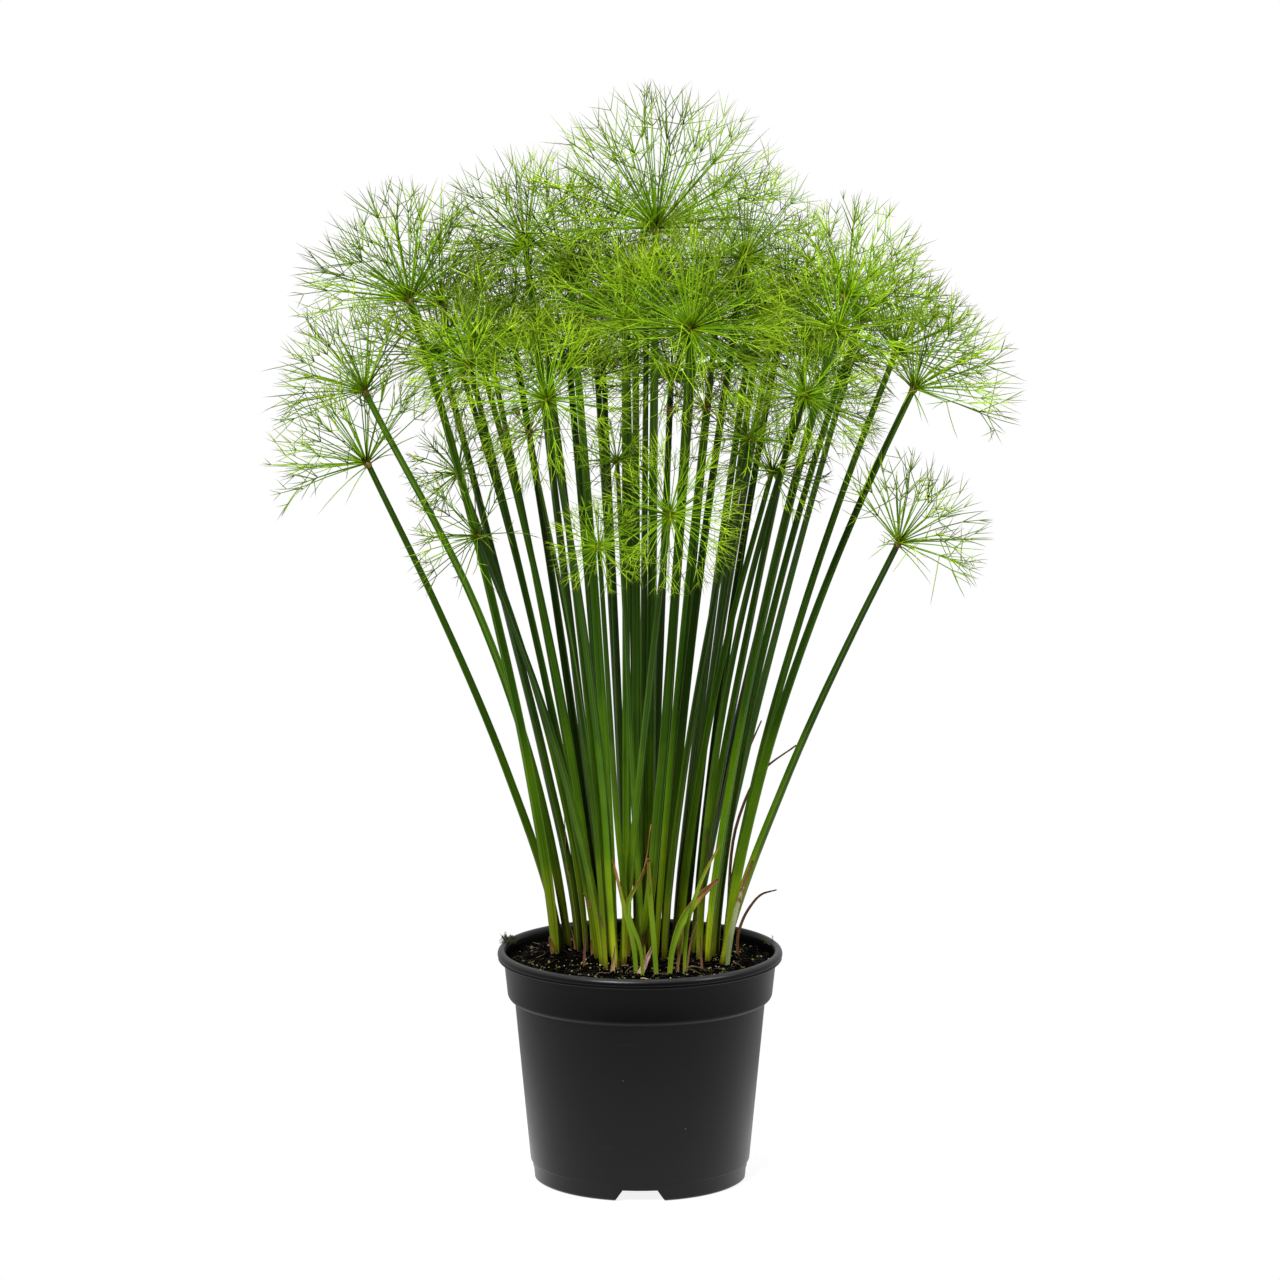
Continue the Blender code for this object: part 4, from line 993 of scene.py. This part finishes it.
def brightened(material, colour, value, hue=0.5):
    """A colour made lighter or darker, and moved a little round the colour circle."""
    return add_node(material, "ShaderNodeHueSaturation", {
        "Color": colour, "Hue": hue, "Saturation": 1.0, "Value": value}).outputs["Color"]


culm_green = new_finish("culm_green")
place = on_piece(culm_green)
height = part_of(culm_green, place, "Z")
wander = span(culm_green, grain(culm_green, place, 28.0), 0.3, 0.7, -0.03, 0.03)
up_culm = span(culm_green, reckon(culm_green, "ADD", height, wander), 0.146, 0.66)
# Up the culm the colour goes from pale yellow-green at the foot to dark green, and lighter again near the
# umbel, where the lighter green is painted light.
tone = ramp(culm_green, up_culm, (
    (0.0, (0.38, 0.43, 0.012)), (0.07, (0.25, 0.37, 0.006)), (0.17, (0.085, 0.190, 0.002)),
    (0.34, (0.027, 0.078, 0.002)), (0.60, (0.021, 0.057, 0.002)), (0.85, (0.045, 0.105, 0.003)),
    (1.0, (0.075, 0.155, 0.005))))
skin = carried(culm_green, "skin")
ribs = streaks(culm_green, skin, (3.4, 3.4, 2.0), 4.0, 0.6)
# A pale line along each corner of the culm is a painted highlight.
flat_skin = add_node(culm_green, "ShaderNodeVectorMath", {0: skin, 1: (1.0, 1.0, 0.0)}, operation="MULTIPLY")
corner = span(culm_green, distance(culm_green, flat_skin.outputs[0]), 0.80, 0.86, 0.0, 0.35)
# Each culm's own tone makes it lighter or darker: painted shade for culms further back, painted light for the
# outer ones.
tone = brightened(culm_green, tone, span(culm_green, carried(culm_green, "tint", "Y"), 0.0, 1.0, 0.42, 1.75))
# Painted shade darkens the feet of the culms further back.
deep = span(culm_green, carried(culm_green, "tint", "Z"), 0.0, 1.0, 0.0, 0.88)
for share, colour in (
        (deep, (0.010, 0.022, 0.001)),
        (span(culm_green, ribs, 0.56, 0.63, 0.0, 0.55), (0.13, 0.25, 0.03)),
        (span(culm_green, ribs, 0.46, 0.34, 0.0, 0.7), (0.006, 0.018, 0.001)),
        (corner, (0.18, 0.28, 0.07)),
        (span(culm_green, height, 0.1490, 0.1570, 0.85, 0.0), (0.045, 0.026, 0.004))):
    tone = laid_over(culm_green, share, tone, colour)
finish_with(culm_green, tone, (0.37, 0.47), ribs, 0.35, 0.0003, 0.12)


def ray_finish(name, stops):
    """The finish of rays: it changes from the knob outwards to the dry tip, and from ray to ray. The light
    green at the knob end is painted light, where the rays shade one another.
    """
    made = new_finish(name)
    own = carried(made, "tint", "Y")
    tone = ramp(made, carried(made, "tint", "X"), stops)
    light, hue = span(made, own, 0.0, 1.0, 0.10, 2.50), span(made, own, 0.0, 1.0, 0.516, 0.494)
    tone = brightened(made, tone, light, hue)
    uneven = grain(made, on_piece(made), 600.0)
    finish_with(made, tone, (0.44, 0.56), uneven, 0.2, 0.00005, 0.08)
    return made


# The light green at each ray's foot, by the knob, is painted light.
ray_green = ray_finish("ray_green", (
    (0.0, (0.360, 0.460, 0.010)), (0.10, (0.135, 0.260, 0.003)), (0.50, (0.110, 0.230, 0.003)),
    (0.58, (0.215, 0.360, 0.008)), (0.84, (0.195, 0.310, 0.010)), (0.94, (0.120, 0.145, 0.014)),
    (1.0, (0.065, 0.058, 0.018))))
dying_ray = ray_finish("dying_ray", (
    (0.0, (0.14, 0.13, 0.02)), (0.5, (0.16, 0.15, 0.03)), (0.8, (0.13, 0.085, 0.03)),
    (1.0, (0.08, 0.045, 0.02))))

knob_brown = new_finish("knob_brown")
scales = grain(knob_brown, on_piece(knob_brown), 900.0, 3.0)
knob_tone = ramp(knob_brown, scales, (
    (0.35, (0.13, 0.16, 0.02)), (0.5, (0.26, 0.18, 0.03)), (0.68, (0.42, 0.20, 0.05))))
finish_with(knob_brown, knob_tone, (0.54, 0.66), scales, 0.5, 0.0004)

dry_sheath = new_finish("dry_sheath")
veins = streaks(dry_sheath, carried(dry_sheath, "skin"), (5.0, 5.0, 40.0), 4.0, 0.65)
sheath_tone = ramp(dry_sheath, carried(dry_sheath, "tint", "X"), (
    (0.0, (0.22, 0.085, 0.010)), (0.4, (0.17, 0.090, 0.012)), (0.85, (0.10, 0.040, 0.009)),
    (1.0, (0.05, 0.017, 0.007))))
pale_veins = span(dry_sheath, veins, 0.45, 0.7, 0.0, 0.4)
sheath_tone = laid_over(dry_sheath, pale_veins, sheath_tone, (0.36, 0.20, 0.05))
finish_with(dry_sheath, sheath_tone, (0.58, 0.72), veins, 0.5, 0.0004)

knob_section = np.array([(math.cos(a), math.sin(a)) for a in around_turn(KNOB_SIDES)])
culms = []
for number, name in enumerate(shoot_nodes, start=1):
    line, axis, reach = shoot_shape(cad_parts[name])
    hub = line[-1]
    chance = np.random.default_rng(number)
    pile = Pile()
    outer = abs(hub[0]) > OUTER_FROM
    top = number == 1
    umbel = min(reach, UMBEL_MOST)

    path = smooth_line(line, LINE_STEPS)
    at = np.concatenate([[0.0], np.cumsum(np.linalg.norm(np.diff(path, axis=0), axis=1))])
    share = (path[:, 2] - path[0, 2]) / (hub[2] - path[0, 2])
    radii = (FOOT_LEAST + FOOT_GAIN * umbel) * CULM_WIDEST * (1 - CULM_TAPER * share)
    radii *= np.interp(path[:, 2], (FOOT_FROM, FOOT_TO), (FOOT_NARROW, 1.0))
    # Culms further back are given a darker tone, which is painted shade; the outer ones are held light, which
    # is painted light.
    tone = CULM_TONE - CULM_PAINTED_SHADE_BY_DEPTH * path[len(path) // 2][1] + chance.normal(0, CULM_TONE_SPREAD)
    tone = float(np.clip(tone, OUTER_CULM_PAINTED_LIGHT if outer else 0.0, 1))
    section = three_sided(chance.uniform(0, SECTION_TURN))
    # Painted shade at the feet of the culms further back, fading out up the culm.
    behind = float(np.clip((path[0, 1] + BEHIND_FROM) / BEHIND_OVER, 0, 1))
    painted_shades = behind * np.clip((SHADED_BELOW - path[:, 2]) / SHADED_OVER, 0, 1)
    add_tube(pile, path, radii, section, CULM_SLOT, tone, at + number * PATTERN_STEP, painted_shades)
    culms.append((path, radii))

    knob = KNOB_LEAST + KNOB_GAIN * umbel
    ray_slot = DYING_SLOT if name in DYING else RAY_SLOT
    opened = outer or top
    rays = int((RAYS_LEAST + RAYS_GAIN * umbel ** 2) * (TOP_RAYS if top else OPEN_RAYS if opened else 1.0))
    thick = RAY_RADIUS * (OPEN_RAY_WIDTH if opened else 1.0)
    # Umbels further back get a darker tone, which is painted shade.
    front = RAY_TONE - RAY_PAINTED_SHADE_BY_DEPTH * hub[1] + chance.normal(0, RAY_TONE_SPREAD)
    front = float(np.clip(front, *RAY_TONES))
    lowest = OUTER_LOWEST if outer else TOP_LOWEST if top else INNER_LOWEST
    if axis[1] <= NODS_FROM:
        rays, thick, lowest = int(rays * NODDING_RAYS), RAY_RADIUS * NODDING_RAY_WIDTH, NODDING_LOWEST
    if name == SPARSE:
        rays, front, lowest = int(rays * SPARSE_RAYS), front * SPARSE_RAYS, SPARSE_LOWEST
    add_umbel(pile, hub, axis, reach, knob, rays, thick, lowest, chance, front, ray_slot)
    knob_line = hub + axis * knob * np.linspace(*KNOB_ENDS, len(KNOB_SHAPE))[:, None]
    knob_share = np.linspace(0, 1, len(KNOB_SHAPE))
    add_tube(pile, knob_line, knob * KNOB_SHAPE, knob_section, KNOB_SLOT, MIDDLE_TONE, knob_share)

    angles, turns = chance.uniform(*BRACT_ANGLES, BRACTS), chance.uniform(0, ANY_TURN, BRACTS)
    out = spread_ways(np.tile(axis, (BRACTS, 1)), angles, turns)
    starts = np.tile(hub - axis * knob * BRACTS_UNDER, (BRACTS, 1))
    lengths = reach * chance.uniform(*BRACT_LENGTHS, BRACTS)
    sag = np.tile((0.0, 0.0, -BRACT_SAG), (BRACTS, 1))
    grow(pile, starts, out, lengths, sag, BRACT, 1.0, ray_slot, front, BRACT_SIDES)

    if number % SHEATH_EVERY in SHEATHED:
        add_sheath(pile, path, radii, section, chance)

    shoot = pile.piece(f"shoot_{number:02d}", [culm_green, ray_green, dying_ray, knob_brown, dry_sheath])
    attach(shoot, "root")
    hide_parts(name)


# Loose leaf blades and dry strips stand among the culms at the clump's foot. The green blades have
# browned, curled tips, one pale sheath has torn away, and three thin brown strips lean outwards.
BLADE_THICKNESS, BLADE_FOLD, BLADE_ACROSS, BLADE_STEPS, BLADE_RAGGED = 0.00045, 0.45, 7, 7, 0.3
SAME_DIGITS, RING_CORNERS, BLADE_SEED = 5, 4, 100
# Each blade: its solid, its slot, where along it the dry part starts, its twist, and its rows of
# place across, height and half width.
BLADES = {
    "left_blade": ("leaf_blade_left", "leaf", 0.80, 0.35, (
        (-0.002, 0.139, 0.0013), (-0.004, 0.166, 0.0016), (-0.0105, 0.194, 0.0015), (-0.018, 0.226, 0.0008))),
    "curled_blade": ("leaf_blade_curled", "leaf", 0.70, 1.6, (
        (0.002, 0.139, 0.0010), (0.0005, 0.166, 0.0012), (-0.008, 0.197, 0.0017), (0.002, 0.219, 0.0014),
        (0.007, 0.252, 0.0007))),
    "stub_blade": ("leaf_stub", "leaf", 0.95, 0.1, (
        (0.0115, 0.139, 0.0014), (0.0095, 0.166, 0.0017), (0.0068, 0.200, 0.0018), (0.0055, 0.229, 0.0015))),
    "broad_blade": ("leaf_blade_broad", "leaf", 0.72, 0.5, (
        (0.019, 0.139, 0.0014), (0.0215, 0.166, 0.0019), (0.0275, 0.184, 0.0028), (0.038, 0.200, 0.0030),
        (0.051, 0.213, 0.0013))),
    "right_blade": ("leaf_blade_right", "leaf", 0.92, 0.4, (
        (0.029, 0.139, 0.0010), (0.030, 0.166, 0.0012), (0.034, 0.196, 0.0013), (0.0425, 0.219, 0.0012),
        (0.052, 0.237, 0.0006))),
    "pale_sheath": ("torn_sheath", "dry_leaf", 0.66, 0.3, (
        (0.057, 0.139, 0.0012), (0.0595, 0.166, 0.0018), (0.066, 0.197, 0.0016), (0.074, 0.221, 0.0006))),
    "low_strip": ("dry_strand_low", "dry_leaf", 0.0, 0.9, (
        (0.066, 0.139, 0.0010), (0.066, 0.166, 0.0010), (0.073, 0.182, 0.0009), (0.081, 0.191, 0.0008),
        (0.091, 0.194, 0.0006))),
    "high_strip": ("dry_strand_high", "dry_leaf", 0.25, 0.7, (
        (0.058, 0.139, 0.0010), (0.059, 0.180, 0.0010), (0.066, 0.240, 0.0010), (0.080, 0.270, 0.0009),
        (0.104, 0.289, 0.0006))),
    "mid_strip": ("dry_strand_mid", "dry_leaf", 0.35, 0.8, (
        (0.046, 0.139, 0.0010), (0.047, 0.180, 0.0010), (0.056, 0.230, 0.0011), (0.066, 0.268, 0.0012),
        (0.081, 0.303, 0.0006))),
}


def blade_finish(name, fresh, dry, rim):
    """The finish of a blade: fresh at its foot, dry past a share of its length and along its edges."""
    made = new_finish(name)
    skin = carried(made, "skin")
    vein = streaks(made, skin, (9.0, 1.0, 60.0), 4.0, 0.6)
    patchy = streaks(made, skin, (1.5, 1.0, 260.0), 3.0)
    share = carried(made, "tint", "X")
    edge = reckon(made, "ABSOLUTE", part_of(made, skin, "X"))
    past = reckon(made, "SUBTRACT", share, carried(made, "tint", "Z"))
    past = reckon(made, "ADD", past, span(made, patchy, 0.3, 0.7, -0.16, 0.16))
    past = reckon(made, "ADD", past, span(made, edge, 0.75, 1.0, 0.0, 0.22))
    tone = laid_over(made, span(made, vein, 0.4, 0.7, 0.0, 0.45), ramp(made, share, fresh), rim)
    tone = laid_over(made, span(made, past, -0.03, 0.06), tone, ramp(made, vein, dry))
    finish_with(made, tone, (0.42, 0.62), vein, 0.5, 0.0003, 0.2)
    return made


green_blade = blade_finish(
    "green_blade",
    ((0.0, (0.16, 0.20, 0.006)), (0.25, (0.11, 0.20, 0.004)), (0.55, (0.16, 0.27, 0.006)),
     (1.0, (0.28, 0.33, 0.015))),
    ((0.3, (0.12, 0.045, 0.012)), (0.5, (0.34, 0.15, 0.04)), (0.7, (0.52, 0.31, 0.13))),
    (0.24, 0.34, 0.03))
dry_blade = blade_finish(
    "dry_blade",
    ((0.0, (0.10, 0.14, 0.02)), (0.35, (0.16, 0.22, 0.05)), (0.5, (0.36, 0.40, 0.20)),
     (1.0, (0.34, 0.33, 0.20))),
    ((0.3, (0.065, 0.026, 0.012)), (0.5, (0.19, 0.080, 0.032)), (0.7, (0.40, 0.22, 0.10))),
    (0.50, 0.52, 0.34))


def add_blade(pile, line, width, turn, fold, thickness, across, tone, dry_from=1.0):
    """A thin blade along a line, its edges folded forwards, turned about the line as it goes."""
    side, facing = across_line(line)
    cos, sin = np.cos(turn)[:, None], np.sin(turn)[:, None]
    side, facing = cos * side + sin * facing, cos * facing - sin * side
    shares = np.linspace(1, -1, across)
    shares = np.concatenate([shares, shares[::-1]])
    wide = (width[:, None] * shares)[:, :, None]
    deep = width[:, None] * fold * np.abs(shares) ** 1.5 + np.repeat((0.5, -0.5), across) * thickness
    rings = line[:, None] + wide * side[:, None] + deep[:, :, None] * facing[:, None]
    skins = np.zeros(rings.shape)
    skins[:, :, 0] = shares
    skins[:, :, 2] = line[:, None, 2]
    add_rings(pile, rings, 0, skins, np.linspace(0, 1, len(line)), tone, dry_from)


for number, (title, (node_name, slot, dry_from, twist, rows)) in enumerate(BLADES.items()):
    corners = np.array([v.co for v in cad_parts[node_name].data.vertices], float)
    corners = np.unique(corners.round(SAME_DIGITS), axis=0)
    middles = []
    for x, z, _ in rows:
        near = np.argsort((corners[:, 0] - x) ** 2 + (corners[:, 2] - z) ** 2)[:RING_CORNERS]
        middles.append((x, corners[near, 1].mean(), z))
    line = smooth_line(np.array(middles), BLADE_STEPS)
    widths = np.interp(np.linspace(0, len(rows) - 1, len(line)), range(len(rows)), [row[2] for row in rows])
    share = np.linspace(0, 1, len(line))
    ragged = np.random.default_rng(BLADE_SEED + number).uniform(0, 1, len(line))
    widths *= 1 - BLADE_RAGGED * ragged * share ** 3
    pile = Pile()
    turn = twist * share ** 2
    add_blade(pile, line, widths, turn, BLADE_FOLD, BLADE_THICKNESS, BLADE_ACROSS, MIDDLE_TONE, dry_from)
    blade = pile.piece(title, [green_blade if slot == "leaf" else dry_blade])
    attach(blade, "root")
    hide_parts(node_name)


# Torn bits of old sheath stand in the compost among the feet, a pale flake leans at the front, and
# a few sheath tips have peeled off their culms. Each is a thin dry strip rooted where it stands.
BIT_THICKNESS, BIT_FOLD, BIT_ACROSS, BIT_STEPS, BIT_NARROWING = 0.0003, 0.6, 5, 6, 0.75
BIT_TURN, BIT_CURL, BIT_RAGGED = 0.8, 1.4, (0.75, 1.0)
PEEL_WIDTH, PEEL_STEPS, PEEL_BESIDE, PEEL_STAND_OFF, PEEL_BOW = 0.0008, 5, 0.004, 0.0015, 0.0006
PEEL_FOOT_IN, PEEL_TIP_OUT, PEEL_TONES = 0.45, 1.1, (0.3, 0.9)
# Each bit: half its width, its tone from pale to dark, and the line that it follows.
BITS = (
    (0.0024, 0.0, ((-0.0003, -0.0500, 0.1478), (0.0049, -0.0500, 0.1608), (0.0095, -0.0490, 0.1711))),
    (0.0011, 0.9, ((-0.0367, -0.0310, 0.1470), (-0.0366, -0.0312, 0.1640), (-0.0358, -0.0318, 0.1754))),
    (0.0013, 1.0, ((0.0000, -0.0400, 0.1470), (0.0012, -0.0395, 0.1600), (0.0016, -0.0390, 0.1690),
                   (0.0040, -0.0400, 0.1770))),
    (0.0010, 0.8, ((0.0412, -0.0375, 0.1470), (0.0404, -0.0370, 0.1590), (0.0399, -0.0365, 0.1710))),
    (0.0012, 0.3, ((0.0245, -0.0445, 0.1470), (0.0262, -0.0445, 0.1650), (0.0290, -0.0440, 0.1800))),
    (0.0016, 0.2, ((-0.0180, -0.0450, 0.1470), (-0.0178, -0.0452, 0.1560), (-0.0168, -0.0455, 0.1670))),
    (0.0009, 0.5, ((0.0300, -0.0450, 0.1470), (0.0335, -0.0440, 0.1700), (0.0390, -0.0420, 0.1880))),
)
# Each peeling tip: the place across of its culm, the heights of its foot and tip, and its lean.
PEELS = (
    (-0.0634, 0.178, 0.190, -0.004), (-0.0460, 0.197, 0.208, -0.003), (-0.0366, 0.185, 0.196, -0.005),
    (-0.0520, 0.212, 0.241, -0.001), (0.0379, 0.189, 0.206, 0.002), (0.0400, 0.214, 0.240, 0.003))


def add_strip(pile, line, half_width, tone, chance):
    """A thin curled strip along a line, broad at its foot and ragged to its tip."""
    share = np.linspace(0, 1, len(line))
    turn = chance.uniform(-BIT_TURN, BIT_TURN) + chance.uniform(-BIT_CURL, BIT_CURL) * share
    width = half_width * (1 - BIT_NARROWING * share ** 2) * chance.uniform(*BIT_RAGGED, len(line))
    add_blade(pile, line, width, turn, BIT_FOLD, BIT_THICKNESS, BIT_ACROSS, tone)


bits = Pile()
chance = np.random.default_rng(78)
for half_width, tone, places in BITS:
    add_strip(bits, smooth_line(np.array(places), BIT_STEPS), half_width, tone, chance)
for x, low, high, lean in PEELS:
    near = []
    for path, radii in culms:
        across, depth = (np.interp(low, path[:, 2], path[:, way]) for way in (0, 1))
        near.append((abs(across - x) > PEEL_BESIDE, depth, across, np.interp(low, path[:, 2], radii)))
    _, depth, across, thick = min(near)
    foot = np.array((across, depth - PEEL_FOOT_IN * thick, low))
    tip = np.array((across + lean, depth - PEEL_TIP_OUT * thick - PEEL_STAND_OFF, high))
    middle = (foot + tip) / 2 + (0.0, PEEL_BOW, 0.0)
    line = smooth_line(np.array((foot, middle, tip)), PEEL_STEPS)
    add_strip(bits, line, PEEL_WIDTH, chance.uniform(*PEEL_TONES), chance)
torn_sheath = new_finish("torn_bits")
vein = streaks(torn_sheath, carried(torn_sheath, "skin"), (6.0, 1.0, 90.0), 4.0)
bit_tone = ramp(torn_sheath, carried(torn_sheath, "tint", "Y"), (
    (0.0, (0.80, 0.52, 0.38)), (0.25, (0.40, 0.25, 0.08)), (0.6, (0.26, 0.13, 0.045)),
    (1.0, (0.13, 0.045, 0.025))))
dark_vein = brightened(torn_sheath, bit_tone, 0.45)
veined = laid_over(torn_sheath, span(torn_sheath, vein, 0.4, 0.65, 0.0, 0.5), bit_tone, dark_vein)
finish_with(torn_sheath, veined, (0.54, 0.66), vein, 0.5, 0.0003)
bit_piece = bits.piece("torn_bits", [torn_sheath])
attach(bit_piece, "root")


# The box of the dressed plant, in metres.
low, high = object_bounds()
